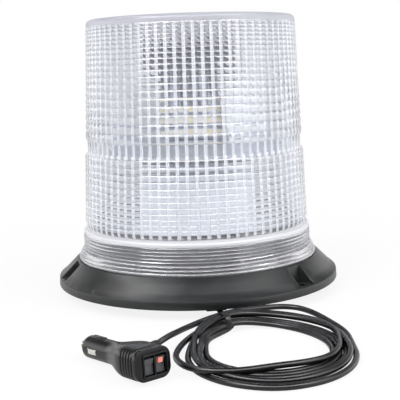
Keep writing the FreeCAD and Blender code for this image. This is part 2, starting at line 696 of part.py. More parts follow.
def lamp_post():
    """Hollow post with its collar, the nut under the drum top, and the bearing's inner race."""
    foot_end = f"({drum_ceiling} - nut_height - 1)"
    head_end = f"({lamp_bottom} + 4)"
    turned("lamp_post", [("post_bore", foot_end), ("post_radius", foot_end), ("post_radius", drum_roof),
                         ("collar_radius", drum_roof), ("collar_radius", bearing_bottom),
                         ("post_radius", bearing_bottom), ("post_radius", head_end),
                         ("post_bore", head_end)])
    nut = new_body("post_nut")
    corners = [polar("nut_radius", "0", f"{60 * corner}") for corner in range(6)]
    pad(nut, [corners], f"{drum_ceiling} - nut_height", "nut_height")
    pocket(nut, [("0", "0", "post_radius + press_gap")], f"{drum_ceiling} + 1", "nut_height + 2")


def race(label, plain, grooved, side):
    """One ring of the ball bearing. Its track follows the balls in short straight steps."""
    track = "(ball_radius + running_gap)"
    middle = f"({bearing_bottom} + {bearing_top}) / 2"
    steps = 8
    profile = [(plain, bearing_bottom), (grooved, bearing_bottom)]
    for step in range(steps + 1):
        angle = f"(({2 * step} / {steps} - 1) * acos(race_gap / {track}))"
        profile.append((f"ball_circle + {side} * {track} * cos({angle})", f"{middle} + {track} * sin({angle})"))
    profile += [(grooved, bearing_top), (plain, bearing_top)]
    turned(label, profile)


def bearing():
    """Ball bearing between the post and the turntable."""
    race("bearing_inner_race", "post_radius + press_gap", "ball_circle - race_gap", "-1")
    race("bearing_outer_race", "bearing_outer", "ball_circle + race_gap", "1")
    balls = []
    for index, (across, up) in enumerate(ring_of(int(sheet.ball_count), "ball_circle")):
        ball = doc.addObject("Part::Sphere", f"ball_{index}")
        ball.setExpression("Radius", full("ball_radius"))
        ball.setExpression("Placement.Base.x", full(across))
        ball.setExpression("Placement.Base.y", full(up))
        ball.setExpression("Placement.Base.z", full(f"({bearing_bottom} + {bearing_top}) / 2"))
        balls.append(ball)
    group = doc.addObject("Part::Compound", "bearing_balls")
    group.Links = balls


# ---------------------------------------------------------------- lens

def lens():
    """Clear lens: stepped foot and skirt, groove, lower prisms, plain band, upper prisms, crown."""
    foot = f"({deck_top} + lens_gap)"
    skirt_top = f"({foot} + skirt_height)"
    shoulder_top = f"({skirt_top} + shoulder_height)"
    groove_top = f"({shoulder_top} + groove_height)"
    lower_top = f"({groove_top} + lower_height)"
    band_top = f"({lower_top} + band_height)"
    upper_top = f"({band_top} + upper_height)"
    crown = f"({upper_top} + crown_height)"
    thread_bore = "(spigot_radius + thread_depth + 0.7)"
    outside = [("foot_radius", foot), ("foot_radius", f"{foot} + foot_height"),
               ("skirt_radius + 1.2", f"{foot} + flare_height / 2"),
               ("skirt_radius", f"{foot} + flare_height"), ("skirt_radius", skirt_top),
               ("groove_radius", f"{shoulder_top}"), ("groove_radius", groove_top),
               ("lower_foot_radius", groove_top), ("lower_top_radius", lower_top),
               ("band_radius", lower_top), ("band_radius", band_top),
               ("upper_foot_radius", band_top), ("upper_top_radius", upper_top),
               ("upper_top_radius - 0.6", f"{crown} - crown_edge"),
               ("upper_top_radius - crown_edge", crown), ("0", crown)]
    inside = [("0", f"{crown} - lens_wall"), ("upper_top_radius - lens_wall - 1", f"{crown} - lens_wall"),
              ("upper_top_radius - lens_wall", upper_top), ("band_radius - lens_wall", band_top),
              ("band_radius - lens_wall", lower_top), ("lower_top_radius - lens_wall", f"{lower_top} - 1"),
              ("lower_foot_radius - lens_wall", groove_top),
              ("groove_radius - lens_wall", f"{groove_top} - 0.2"),
              ("groove_radius - lens_wall", skirt_top), (thread_bore, f"{skirt_top} - lens_wall"),
              (thread_bore, foot)]
    turned("lens", outside + inside)


# ---------------------------------------------------------------- rotor

def gear_wire(teeth, centre, turn):
    """An involute gear outline with a tooth centred on its turn angle, in radians."""
    module = value("gear_module")
    pressure = math.radians(value("pressure_angle"))
    pitch = module * teeth / 2
    base = pitch * math.cos(pressure)
    tip = pitch + module
    root = pitch - 1.25 * module
    start = max(base, root)

    def involute(radius):
        angle = math.acos(min(1, base / radius))
        return math.tan(angle) - angle

    def half_tooth(radius):
        return math.pi / (2 * teeth) + math.tan(pressure) - pressure - involute(radius)

    steps = 4
    flank = [(start + (tip - start) * step / steps) for step in range(steps + 1)]
    outline = []
    for tooth in range(teeth):
        middle = turn + 2 * math.pi * tooth / teeth
        spots = [(root, -half_tooth(start))] + [(radius, -half_tooth(radius)) for radius in flank]
        spots += [(radius, half_tooth(radius)) for radius in reversed(flank)] + [(root, half_tooth(start))]
        for radius, angle in spots:
            spot = Vector(radius * math.cos(middle + angle), radius * math.sin(middle + angle), 0) + centre
            if not outline or (spot - outline[-1]).Length > 0.001:
                outline.append(spot)
    outline.append(outline[0])
    return Part.makePolygon(outline)


def gears():
    """Ring gear under the turntable and the pinion on the motor shaft, in mesh at rest."""
    up = Vector(0, 0, value("gear_width"))
    level = FreeCAD.Placement(Vector(0, 0, value(gear_bottom)), FreeCAD.Rotation())
    direction = math.radians(value("motor_angle"))
    gear = Part.Face(gear_wire(int(sheet.gear_teeth), Vector(), direction)).extrude(up)
    gear = gear.cut(Part.makeCylinder(value("hub_bore"), up.z))
    for across, ahead in ring_of(3, "gear_screw_circle"):
        spot = Vector(value(across), value(ahead), 0)
        gear = gear.cut(Part.makeCylinder(value("drum_screw"), up.z, spot))
    feature("rotor_gear", gear, level)
    teeth = int(sheet.pinion_teeth)
    facing = direction + math.pi + math.pi / teeth
    spot = Vector(value(motor_x), value(motor_y), 0)
    pinion = Part.Face(gear_wire(teeth, spot, facing)).extrude(up)
    pinion = pinion.cut(Part.makeCylinder(value("shaft_radius + press_gap"), up.z, spot))
    feature("motor_pinion", pinion, level)
    shaft = new_body("motor_shaft")
    pad(shaft, [(motor_x, motor_y, "shaft_radius")], f"{drum_ceiling} - shaft_depth",
        f"{gear_top} + 0.5 - {drum_ceiling} + shaft_depth")


def turntable():
    """Hub and table in one moulding, with the bearing's seat and the screw holes."""
    seat = "(bearing_outer + press_gap)"
    body = turned("turntable", [
        ("hub_bore", gear_top), ("hub_radius", gear_top), ("hub_radius", bearing_top),
        ("table_radius", bearing_top), ("table_radius", table_top), (seat, table_top),
        (seat, bearing_bottom), ("hub_bore", bearing_bottom)])
    places = ring_of(3, "gear_screw_circle")
    pocket(body, circles(places, "drum_screw"), f"{gear_bottom} + gear_screw_length + 0.5",
           "gear_screw_length + 0.5 - gear_width")
    pocket(body, circles(wing_screw_places(), "drum_screw"), f"{table_top} + 1", "table_thickness + 2")
    screws("gear_screws", places, "drum_screw_head * 0.8", "drum_screw",
           f"{gear_bottom} - drum_head_height", "drum_head_height", "gear_screw_length", True)
    foot_top = f"({table_top} + wing_foot_thickness)"
    screws("reflector_screws", wing_screw_places(), "drum_screw_head", "drum_screw", foot_top,
           "drum_head_height", "wing_foot_thickness + table_thickness", False)


def mirror_curve(across):
    """Distance of the mirror's face from the line through both wings: a parabola about the lamp."""
    focus = value("wing_focus")
    return across ** 2 / (4 * focus) - focus


def wing_screw_places():
    """Two screws in the foot of each wing, behind the mirror."""
    places = []
    for side in (1, -1):
        for share in (0.25, 0.75):
            across = value("wing_inner") + share * (value("wing_outer") - value("wing_inner"))
            back = mirror_curve(across) - value("wing_wall") - value("wing_foot") / 2 - 1
            places.append((f"{side * across:.4f}", f"{side * back:.4f}"))
    return places


def reflectors():
    """Two upright mirror wings, each a strip of a parabola whose focus is the lamp's axis."""
    inner = value("wing_inner")
    outer = value("wing_outer")
    wall = value("wing_wall")
    steps = 6
    spread = [inner + (outer - inner) * step / steps for step in range(steps + 1)]

    def strip(depth):
        front = [Vector(across, mirror_curve(across), 0) for across in spread]
        back = [Vector(across, mirror_curve(across) - depth, 0) for across in reversed(spread)]
        curves = []
        for spots in (front, back):
            curve = Part.BSplineCurve()
            curve.interpolate(spots)
            curves.append(curve.toShape())
        sides = [Part.makeLine(front[-1], back[0]), Part.makeLine(back[-1], front[0])]
        return Part.Face(Part.Wire([curves[0], sides[0], curves[1], sides[1]]))

    shell = strip(wall).extrude(Vector(0, 0, value("wing_height")))
    foot = strip(wall + value("wing_foot")).extrude(Vector(0, 0, value("wing_foot_thickness")))
    wing = shell.fuse(foot).removeSplitter()
    for across, ahead in wing_screw_places()[:2]:
        spot = Vector(float(across), float(ahead), 0)
        wing = wing.cut(Part.makeCylinder(value("drum_screw") + 0.05, 10, spot))
    level = Vector(0, 0, value(table_top))
    feature("reflector_right", wing, FreeCAD.Placement(level, FreeCAD.Rotation()))
    half_turn = FreeCAD.Rotation(Vector(0, 0, 1), 180)
    feature("reflector_left", wing, FreeCAD.Placement(level, half_turn))


# ---------------------------------------------------------------- lamp column

def lamp_column():
    """Finned column with the light strip round its foot, and the cap with its screw."""
    bore_top = f"({lamp_bottom} + 4.2)"
    bore = "(post_radius + press_gap)"
    fins_bottom = f"({lamp_bottom} + lamp_height)"
    column = turned("heat_sink", [(bore, lamp_bottom), ("column_radius", lamp_bottom),
                                  ("column_radius", lamp_top), ("0", lamp_top), ("0", bore_top),
                                  (bore, bore_top)])
    gap = polar_box("core_radius", "column_radius + 1", "fin_gap", "0")
    cut = pocket(column, [gap], lamp_top, f"{lamp_top} - {fins_bottom}")
    fins = column.newObject("PartDesign::PolarPattern", "heat_sink_fins")
    fins.Originals = [cut]
    fins.Axis = (cut.Profile[0], ["N_Axis"])
    fins.Angle = 360
    fins.setExpression("Occurrences", full("fin_count"))
    column.Tip = fins
    doc.recompute()
    pocket(column, [("0", "0", "cap_screw")], lamp_top, "cap_screw_depth + 1")
    strip_bottom = f"({lamp_bottom} + strip_lift)"
    strip_top = f"({strip_bottom} + strip_height)"
    turned("led_ring", [("column_radius + press_gap", strip_bottom), (strip_radius, strip_bottom),
                        (strip_radius, strip_top), ("column_radius + press_gap", strip_top)])
    chips = new_body("led_chips")
    count = int(sheet.chip_count)
    boxes = [polar_box(strip_radius, f"{strip_radius} + chip_thickness", "chip_size", f"({index} * 360 / {count})")
             for index in range(count)]
    rows = int(sheet.chip_rows)
    for row in range(rows):
        middle = f"({strip_bottom} + strip_height / 2 + ({row} - {rows - 1} / 2) * chip_pitch)"
        pad(chips, boxes, f"{middle} - chip_size / 2", "chip_size")
    turned("top_cap", [("cap_screw + 0.2", lamp_top), ("cap_radius - 1", lamp_top),
                       ("cap_radius", f"{lamp_top} + 1"), ("cap_radius", f"{cap_top} - cap_dome"),
                       ("cap_radius - cap_dome", cap_top), ("cap_screw + 0.2", cap_top)])
    screws("cap_screw", [("0", "0")], "cap_screw_head", "cap_screw", cap_top, "cap_screw",
           "cap_height + cap_screw_depth", False)


# ---------------------------------------------------------------- accessory plug
# Its pieces are drawn with X from the contact pin to the switch face, Y to the right of someone
# who looks at the switches, and Z up, and are then laid on the floor together.

nose_start = "pin_reach"
barrel_start = "(pin_reach + nose_length)"
barrel_end = f"({barrel_start} + barrel_length)"
head_start = f"({barrel_end} + flare_length)"
head_end = f"({head_start} + head_length)"
face_end = f"({head_end} + bezel_thickness)"
fuse_start = f"({barrel_start} + 1.5 + spring_length)"
pivot_x = f"({head_end} - pivot_depth)"
window_half = "(rocker_tall / 2 + rocker_swing)"
window_width = "(rocker_width + 2 * rocker_gap)"


def plug_placement():
    """The plug lies on its barrel and on the lower edge of its head."""
    rise = value("head_tall / 2 - barrel_radius")
    run = value(f"{head_start} - {barrel_start}")
    tilt = math.atan2(rise, run)
    height = value("barrel_radius") * math.cos(tilt) - value(barrel_start) * math.sin(tilt)
    turn = FreeCAD.Rotation(Vector(0, 0, 1), value("plug_turn"))
    lean = FreeCAD.Rotation(Vector(0, 1, 0), -math.degrees(tilt))
    spot = Vector(value("plug_x"), value("plug_y"), height + value("plug_lift"))
    return FreeCAD.Placement(spot, turn.multiply(lean))


def rounded_wire(station, width, tall, corner):
    """A rectangle with rounded corners, upright across the plug's axis."""
    half_width = width / 2
    half_tall = tall / 2
    corner = min(corner, half_width - 0.5, half_tall - 0.5)
    edges = []
    centres = [(half_width - corner, half_tall - corner), (corner - half_width, half_tall - corner),
               (corner - half_width, corner - half_tall), (half_width - corner, corner - half_tall)]
    ends = []
    for index, (across, up) in enumerate(centres):
        points = []
        for step in range(3):
            angle = math.radians(90 * index + 45 * step)
            points.append(Vector(station, across + corner * math.cos(angle), up + corner * math.sin(angle)))
        ends.append((points[0], points[2]))
        edges.append(Part.Arc(*points).toShape())
    for index in range(4):
        edges.append(Part.makeLine(ends[index][1], ends[(index + 1) % 4][0]))
    return Part.Wire(Part.__sortEdges__(edges))


def block(x_low, x_high, y_low, y_high, z_low, z_high):
    """A box between two corners."""
    return Part.makeBox(x_high - x_low, y_high - y_low, z_high - z_low, Vector(x_low, y_low, z_low))


def along_axis(radius, start, end):
    """A round bar on the plug's axis."""
    return Part.makeCylinder(radius, end - start, Vector(start, 0, 0), Vector(1, 0, 0))


def plug_outlet():
    """Where the cable leaves the side of the head, and the way it points, leaning back."""
    lean = math.radians(value("outlet_lean"))
    spot = Vector(value(f"{face_end} - outlet_back"), value("head_width / 2"), value("outlet_up"))
    return spot, Vector(-math.sin(lean), math.cos(lean), 0)


def plug_shells():
    """Barrel, neck and head, made hollow and parted level with the axis, and their screw."""
    start = value(barrel_start)
    neck = value(barrel_end)
    head = value(head_start)
    end = value(head_end)
    barrel = 2 * value("barrel_radius")
    width = value("head_width")
    tall = value("head_tall")
    corner = value("head_corner")
    body = along_axis(barrel / 2, start, neck)
    sections = [rounded_wire(neck, barrel, barrel, barrel), rounded_wire(neck + (head - neck) * 0.5,
                barrel + (width - barrel) * 0.42, barrel + (tall - barrel) * 0.42, barrel * 0.55),
                rounded_wire(head, width, tall, corner)]
    body = body.fuse(Part.makeLoft(sections, True))
    body = body.fuse(Part.Face(rounded_wire(head, width, tall, corner)).extrude(Vector(end - head, 0, 0)))
    wall = value("head_wall")
    room = rounded_wire(head + 1, width - 2 * wall, tall - 2 * wall, value("room_corner"))
    body = body.cut(Part.Face(room).extrude(Vector(end - head, 0, 0)))
    body = body.cut(along_axis(value("barrel_bore"), start - 1, value(f"{fuse_start} + fuse_length + 0.3")))
    gap = value("fit_gap")
    blade_start = value(f"{barrel_start} + 5") - gap
    blade_end = blade_start + value("blade_length") + 2 * gap
    half = value("blade_width") / 2 + gap
    body = body.cut(block(blade_start, blade_end, -10, 10, -half, half))
    screw_x = (neck + head) / 2
    radius = value("plug_screw_radius")
    hole = Part.makeCylinder(radius + 0.02, 8, Vector(screw_x, 0, -5))
    sink = Part.makeCylinder(2 * radius + 0.1, 20, Vector(screw_x, 0, -25))
    body = body.cut(hole).cut(sink)
    outlet, outward = plug_outlet()
    cable_hole = Part.makeCylinder(value("cable_radius + press_gap"), 8, outlet - outward * 5, outward)
    body = body.cut(cable_hole).removeSplitter()
    place = plug_placement()
    reach = 100
    feature("plug_shell_upper", body.common(block(0, reach, -reach, reach, 0, reach)), place)
    feature("plug_shell_lower", body.common(block(0, reach, -reach, reach, -reach, 0)), place)
    screw = Part.makeCylinder(radius, 8, Vector(screw_x, 0, -5))
    screw = screw.fuse(Part.makeCylinder(2 * radius, 1, Vector(screw_x, 0, -6)))
    feature("plug_screw", screw, place)
    relief = Part.makeCone(value("outlet_radius"), value("cable_radius + 0.4"), value("outlet_length"),
                           outlet, outward).cut(body)
    feature("plug_strain_relief", relief, place)


def plug_front():
    """Nose collar, sprung contact pin, its spring, the fuse, and the two side contacts."""
    place = plug_placement()
    start = value(barrel_start)
    tip = value(nose_start)
    taper = value("nose_taper")
    nose = Part.makeCone(value("nose_tip"), value("nose_radius"), taper, Vector(tip, 0, 0), Vector(1, 0, 0))
    nose = nose.fuse(along_axis(value("nose_radius"), tip + taper, start))
    nose = nose.cut(along_axis(value("pin_radius + running_gap"), 0, start + 1))
    feature("plug_nose", nose.removeSplitter(), place)
    flange_start = start + value("fit_gap")
    flange_end = start + 1.5
    pin = along_axis(value("pin_radius"), 0, flange_end)
    pin = pin.fuse(along_axis(value("pin_flange"), flange_start, flange_end)).removeSplitter()
    pin = pin.makeFillet(0.8, [edge for edge in pin.Edges if edge.BoundBox.XMax < 0.01])
    feature("tip_contact", pin, place)
    wire = value("spring_wire")
    length = value("spring_length") - 2 * wire
    radius = value("pin_flange") - wire - 0.3
    helix = Part.makeHelix(length / value("spring_turns"), length, radius)
    circle = Part.makeCircle(wire, Vector(radius, 0, 0), Vector(0, 1, 0))
    spring = Part.Wire(helix).makePipeShell([Part.Wire(circle)], True, True)
    spring.rotate(Vector(), Vector(0, 1, 0), 90)
    spring.translate(Vector(flange_end + wire, 0, 0))
    feature("tip_spring", spring, place)
    fuse_x = value(fuse_start)
    fuse_end = fuse_x + value("fuse_length")
    cap = value("fuse_length") / 4
    thickness = value("fuse_radius")
    caps = [along_axis(thickness, fuse_x, fuse_x + cap), along_axis(thickness, fuse_end - cap, fuse_end)]
    glass = along_axis(thickness * 0.9, fuse_x + cap, fuse_end - cap)
    feature("fuse", Part.makeCompound([caps[0], glass, caps[1]]), place)
    blade_x = start + 5
    blade = value("blade_length")
    half = value("blade_width") / 2
    low = value("fuse_radius + blade_lift + blade_travel")
    skin = value("barrel_radius") - 0.3
    peak = value("barrel_radius + blade_proud")
    for label, side in (("side_contact_right", 1), ("side_contact_left", -1)):
        profile = [Vector(blade_x, side * low, -half), Vector(blade_x, side * skin, -half),
                   Vector(blade_x + blade * 0.3, side * peak, -half),
                   Vector(blade_x + blade * 0.7, side * peak, -half),
                   Vector(blade_x + blade, side * skin, -half), Vector(blade_x + blade, side * low, -half)]
        face = Part.Face(Part.makePolygon(profile + [profile[0]]))
        feature(label, face.extrude(Vector(0, 0, 2 * half)), place)


def plug_switches():
    """Frame, two rockers on one axle, the indicator in the right one, and the switch block."""
    place = plug_placement()
    end = value(head_end)
    face = value(face_end)
    inset = value("bezel_inset")
    plate = Part.Face(rounded_wire(end, value("head_width") - 2 * inset, value("head_tall") - 2 * inset,
                                   value("head_corner") - inset)).extrude(Vector(face - end, 0, 0))
    divider = value("rocker_divider")
    width = value(window_width)
    tall = value(window_half)
    carrier_half = divider / 2 + width + value("carrier_wall")
    back = end - value("bezel_depth")
    shelf = tall + value("carrier_wall")
    side_shift = value("switch_side")
    drop = value("switch_drop")
    carrier = block(back, end, side_shift - carrier_half, side_shift + carrier_half, -shelf - drop, shelf - drop)
    bezel = plate.fuse(carrier)
    pivot = Vector(value(pivot_x), side_shift, -drop)
    across = Vector(0, 1, 0)
    axle_reach = carrier_half - 0.2
    axle_start = pivot - across * axle_reach
    axle = Part.makeCylinder(value("axle_radius"), 2 * axle_reach, axle_start, across)
    tilt = value("rocker_tilt")
    rocker_half = value("rocker_tall") / 2
    profile = [(3.9, rocker_half), (3.1, 0), (3.9, -rocker_half), (0.8, 0.15 - rocker_half),
               (-1.5, -2.2), (-1.5, 2.2), (0.8, rocker_half - 0.15)]
    for label, side in (("rocker_right", 1), ("rocker_left", -1)):
        middle = side_shift + side * (divider + width) / 2
        bezel = bezel.cut(block(back - 1, face + 1, middle - width / 2, middle + width / 2,
                                -tall - drop, tall - drop))
        low = middle - value("rocker_width") / 2
        corners = [Vector(pivot.x + ahead, low, pivot.z + up) for ahead, up in profile]
        rocker = Part.Face(Part.makePolygon(corners + [corners[0]]))
        rocker = rocker.extrude(Vector(0, value("rocker_width"), 0))
        bore = Part.makeCylinder(value("axle_radius + running_gap"), 20, pivot - across * 10, across)
        rocker = rocker.cut(bore)
        if side == 1:
            window = value("indicator_size")
            height = pivot.z + rocker_half * 0.55
            lamp = block(pivot.x + 2.2, pivot.x + 4, middle - window / 2, middle + window / 2,
                         height - window / 2, height + window / 2)
            rocker = rocker.cut(lamp)
            lamp.rotate(pivot, across, tilt)
            feature("indicator_lens", lamp, place)
        rocker.rotate(pivot, across, tilt)
        feature(label, rocker, place)
    bezel = bezel.cut(axle).removeSplitter()
    feature("plug_bezel", bezel, place)
    feature("rocker_axle", axle, place)
    side = carrier_half - 0.5
    cable_side = value("outlet_up - cable_radius") - 0.6
    feature("switch_block", block(value(head_start) + 2, back, side_shift - side, side_shift + side,
                                  -tall - drop, cable_side), place)


# ---------------------------------------------------------------- cord

def cord():
    """Two leads, the coil between them as one solid, and the tie round its turns."""
    outer = Part.Ellipse(Vector(value("coil_x"), value("coil_y"), 0), value("coil_half_depth"),
                         value("coil_half_width"))
    inner = Part.Ellipse(Vector(value("coil_x"), value("coil_y"), 0),
                         value("coil_half_depth - coil_bundle"), value("coil_half_width - coil_bundle"))
    quarter_turn = FreeCAD.Rotation(Vector(0, 0, 1), 90)
    faces = []
    for curve in (outer, inner):
        wire = Part.Wire(curve.toShape())
        wire.rotate(Vector(value("coil_x"), value("coil_y"), 0), quarter_turn.Axis, 90)
        faces.append(Part.Face(wire))
    ring = faces[0].cut(faces[1]).extrude(Vector(0, 0, value("coil_height")))
    ring = ring.makeFillet(value("coil_height") * 0.3, [edge for edge in ring.Edges if edge.BoundBox.ZMin > 1])
    feature("cord_coil", ring)
    along = exit_direction()
    tip = along * value("boss_outer + relief_length * 0.35") + Vector(0, 0, value("exit_height"))
    lead = [tuple(tip), tuple(tip + along * 6.5), (14, -91.5, 2), (17.5, -99, 1.8)]
    feature("cord_base_lead", tube(lead, value("cable_radius"), "base lead"))
    place = plug_placement()
    outlet, outward = plug_outlet()
    relief_end = outlet + outward * value("outlet_length")
    plug_lead = [tuple(place.multVec(relief_end)), tuple(place.multVec(relief_end + outward * 6)),
                 (-18.4, -150, 8.6), (-15.8, -137, 5.6), (-12.4, -124.8, 3.2), (-7.3, -116, 2.6),
                 (-0.5, -109.2, 3), (3.6, -106.8, 3.6)]
    feature("cord_plug_lead", tube(plug_lead, value("cable_radius"), "plug lead"))
    angle = math.radians(value("tie_angle"))
    direction = Vector(math.cos(angle), math.sin(angle), 0)
    bundle = value("coil_bundle")
    reach = 1 / math.hypot(direction.x / value("coil_half_width"), direction.y / value("coil_half_depth"))
    thickness = value("tie_thickness")
    width = value("tie_width")
    height = value("coil_height")
    band = block(reach - bundle - thickness * 2, reach + thickness, -width / 2, width / 2, 0, height + thickness)
    band = band.cut(block(reach - bundle - thickness, reach - 0.2, -width, width, -1, height))
    spin = FreeCAD.Rotation(Vector(0, 0, 1), value("tie_angle"))
    spot = Vector(value("coil_x"), value("coil_y"), 0)
    feature("cord_tie", band, FreeCAD.Placement(spot, spin))


# ---------------------------------------------------------------- build and write

NODES = ["base_housing", "base_plate", "base_seal", "plate_screws", "suction_cup", "magnet_pot", "magnet",
         "magnet_bolt", "cable_grommet", "chassis_plate", "chassis_screws", "lens_gasket", "driver_board",
         "board_parts", "board_screws", "supply_wires", "motor_pedestal", "pedestal_screws",
         "drive_motor", "motor_screws", "lamp_post", "post_nut", "bearing_inner_race", "heat_sink",
         "led_ring", "led_chips", "top_cap", "cap_screw", "lens", "rotor_gear", "turntable",
         "bearing_outer_race", "bearing_balls", "reflector_left", "reflector_right", "reflector_screws",
         "gear_screws", "motor_pinion", "motor_shaft", "plug_shell_upper", "plug_shell_lower", "plug_bezel",
         "rocker_left", "rocker_right", "indicator_lens", "rocker_axle", "switch_block", "plug_nose",
         "tip_contact", "tip_spring", "fuse", "side_contact_left", "side_contact_right", "plug_screw",
         "plug_strain_relief", "cord_base_lead", "cord_coil", "cord_plug_lead", "cord_tie"]

for build in (base_housing, base_plate, foot, cable_grommet, chassis, electronics, drum_and_motor,
              lamp_post, bearing, lens, gears, turntable, reflectors, lamp_column, plug_shells,
              plug_front, plug_switches, cord):
    build()
doc.recompute()

for item in doc.Objects:
    if "Invalid" in item.State or "Error" in item.State:
        raise RuntimeError(f"{item.Label} failed to compute")

os.makedirs("parts", exist_ok=True)
for node in NODES:
    part = doc.getObjectsByLabel(node)[0]
    if part.Shape.isNull() or not part.Shape.isValid() or not part.Shape.Solids:
        raise RuntimeError(f"{node} has no valid solid")
    part.Shape.exportStep(f"parts/{node}.step")
print(f"{len(NODES)} nodes written")
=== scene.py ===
"""Rotating warning beacon on a magnet foot: finished pieces, materials, light and camera."""

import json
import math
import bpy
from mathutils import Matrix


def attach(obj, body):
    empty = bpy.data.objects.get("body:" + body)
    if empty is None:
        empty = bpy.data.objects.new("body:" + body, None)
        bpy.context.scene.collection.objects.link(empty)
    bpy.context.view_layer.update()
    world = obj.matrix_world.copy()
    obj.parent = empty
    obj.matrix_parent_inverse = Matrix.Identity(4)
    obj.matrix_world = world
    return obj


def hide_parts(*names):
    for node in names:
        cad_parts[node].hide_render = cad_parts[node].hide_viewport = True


bl_info = {
    "name": "Warning Beacon",
    "version": (1, 0, 0),
    "blender": (4, 5, 0),
    "location": "3D View > Sidebar > Beacon",
    "description": "Dresses the beacon, its lens, cord and vehicle plug",
    "category": "Object",
}

import bmesh
import bpy
from bpy.props import FloatProperty, IntProperty, PointerProperty
from mathutils import Matrix, Vector

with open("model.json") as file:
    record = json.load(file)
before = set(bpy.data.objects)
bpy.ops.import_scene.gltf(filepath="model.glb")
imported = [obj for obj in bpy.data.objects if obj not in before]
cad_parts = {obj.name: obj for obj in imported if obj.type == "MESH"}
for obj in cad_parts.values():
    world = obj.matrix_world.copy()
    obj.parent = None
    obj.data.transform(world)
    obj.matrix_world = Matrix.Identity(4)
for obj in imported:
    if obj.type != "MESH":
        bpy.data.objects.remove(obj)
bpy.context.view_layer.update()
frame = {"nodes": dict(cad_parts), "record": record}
MM = 0.001


# ---------------------------------------------------------------- sizes and colours

# Heights and radii of the lens in millimetres, as its solid has them
LENS_FOOT = 22.7
LENS_TOP = 176
LENS_WALL = 2.6
LOWER = (46, 90.8)
UPPER = (99.6, 171)
LOWER_RADII = (73.3, 71.2)
UPPER_RADII = (70.2, 67.6)
BAND_RADIUS = 69.8
# Middle of the lens wall at height 0, and how it leans in with the height
WALL_MIDDLE = 73.94
WALL_LEAN = -0.0447
# How much taller each ring is than the one above it
UPPER_GROWTH = 1.064
LOWER_GROWTH = 0.963
RING_STATIONS = (0, 0.1, 0.3, 0.7, 0.9)
# Heights between which the inside wall of the upper rings runs
UPPER_INSIDE = (100, 170)
# Flutes reach this far past the ends of the upper inside wall
FLUTE_OVERRUN = 0.1
# Lowest height of the flutes, and their highest below the top of the lower rings
FLUTE_FOOT = 44.7
FLUTE_HEAD = 0.9
# First bead of the skirt, and from bead to bead
BEAD_START = 30.3
BEAD_PITCH = 2.2
BEAD_COUNT = 4
# Dark ring on the spigot, put there as painted shade in the gap under the lens: inner and outer radius,
# bottom and top
SHADE_RING_RADII = (68.6, 69.4)
SHADE_RING_HEIGHTS = (38.9, 46.3)
# Across one flute: where its five points lie, and how far each stands in, as shares of pitch and depth
FLUTE_STATIONS = ((0.02, 0), (0.12, 0.7), (0.22, 1), (0.32, 0.7), (0.42, 0))


class LensSizes(bpy.types.PropertyGroup):
    """What a user would change on the lens."""
    flutes: IntProperty(name="Flutes", description="Upright flutes inside the lens", default=76)
    flute_depth: FloatProperty(name="Flute depth", description="From the wall to a flute's crest",
                               default=0.95 * MM, unit="LENGTH")
    ring_rise: FloatProperty(name="Ring rise", description="Bulge of a ring, as a share of its height",
                             default=0.12)
    upper_rings: IntProperty(name="Upper rings", description="Rings above the plain band", default=19)
    lower_rings: IntProperty(name="Lower rings", description="Rings below the plain band", default=12)


class CordSizes(bpy.types.PropertyGroup):
    """What a user would change on the cord."""
    diameter: FloatProperty(name="Diameter", description="Cable diameter", default=3.2 * MM, unit="LENGTH")


class StageSizes(bpy.types.PropertyGroup):
    """Camera and light."""
    focal_length: FloatProperty(name="Focal length", description="On a 36 mm sensor, in millimetres",
                                default=81)
    key_power: FloatProperty(name="Key light", description="Power of the key light, in watts", default=10)
    fill_power: FloatProperty(name="Fill light", description="Power of the fill light, in watts", default=6)


# ---------------------------------------------------------------- materials

# Where the parts of the lens's haze fade in and out, in metres of height
FLUTE_FADE_LOW = (0.0439, 0.0438)
FLUTE_FADE_HIGH = (0.1705, 0.171)
CROWN_FADE = (0.1718, 0.1712)
SKIRT_FADE = (0.0428, 0.0434)
SHOULDER_FADE = (0.0396, 0.039)
# Half the width of a flute's haze, as a share of its pitch, and where it ends
FLUTE_FADE = (0.15, 0.22)
# Share of light that each part of the lens scatters
LENS_HAZE = 0.07
FLUTE_HAZE = 0.76
RING_HAZE = 0.26
CROWN_HAZE = 0.55
SKIRT_HAZE = 0.01
BEAD_HAZE = 0.17
SHOULDER_HAZE = 0.45


def linear(code):
    """A hex sRGB colour as linear red, green, blue and alpha."""
    parts = [int(code[start:start + 2], 16) / 255 for start in (0, 2, 4)]
    levels = (part / 12.92 if part <= 0.04045 else ((part + 0.055) / 1.055) ** 2.4 for part in parts)
    return (*levels, 1)


def add(tree, kind, inputs=None, **settings):
    """Adds a node, with its settings, and sets or links its inputs."""
    node = tree.nodes.new("ShaderNode" + kind)
    for name, setting in settings.items():
        setattr(node, name, setting)
    for name, source in (inputs or {}).items():
        if isinstance(source, bpy.types.NodeSocket):
            tree.links.new(source, node.inputs[name])
        else:
            node.inputs[name].default_value = source
    return node


def start_material(name, **shader):
    """A new material with a Principled shader, and its Object coordinates."""
    material = bpy.data.materials.new(name)
    material.use_nodes = True
    tree = material.node_tree
    tree.nodes.clear()
    shade = add(tree, "BsdfPrincipled", {key.replace("_", " "): value for key, value in shader.items()})
    output = add(tree, "OutputMaterial", {"Surface": shade.outputs[0]})
    place = add(tree, "TexCoord").outputs["Object"]
    return material, tree, shade, output, place


def mottle(tree, place, shade, dark, light, size):
    """Cloudy change of colour between two shades, a given size across in millimetres."""
    cloud = add(tree, "TexNoise", {"Vector": place, "Scale": 1000 / size, "Detail": 3.0})
    ramp = add(tree, "ValToRGB", {"Fac": cloud.outputs[0]})
    ramp.color_ramp.elements[0].position = 0.35
    ramp.color_ramp.elements[1].position = 0.65
    ramp.color_ramp.elements[0].color = linear(dark)
    ramp.color_ramp.elements[1].color = linear(light)
    tree.links.new(ramp.outputs[0], shade.inputs["Base Color"])


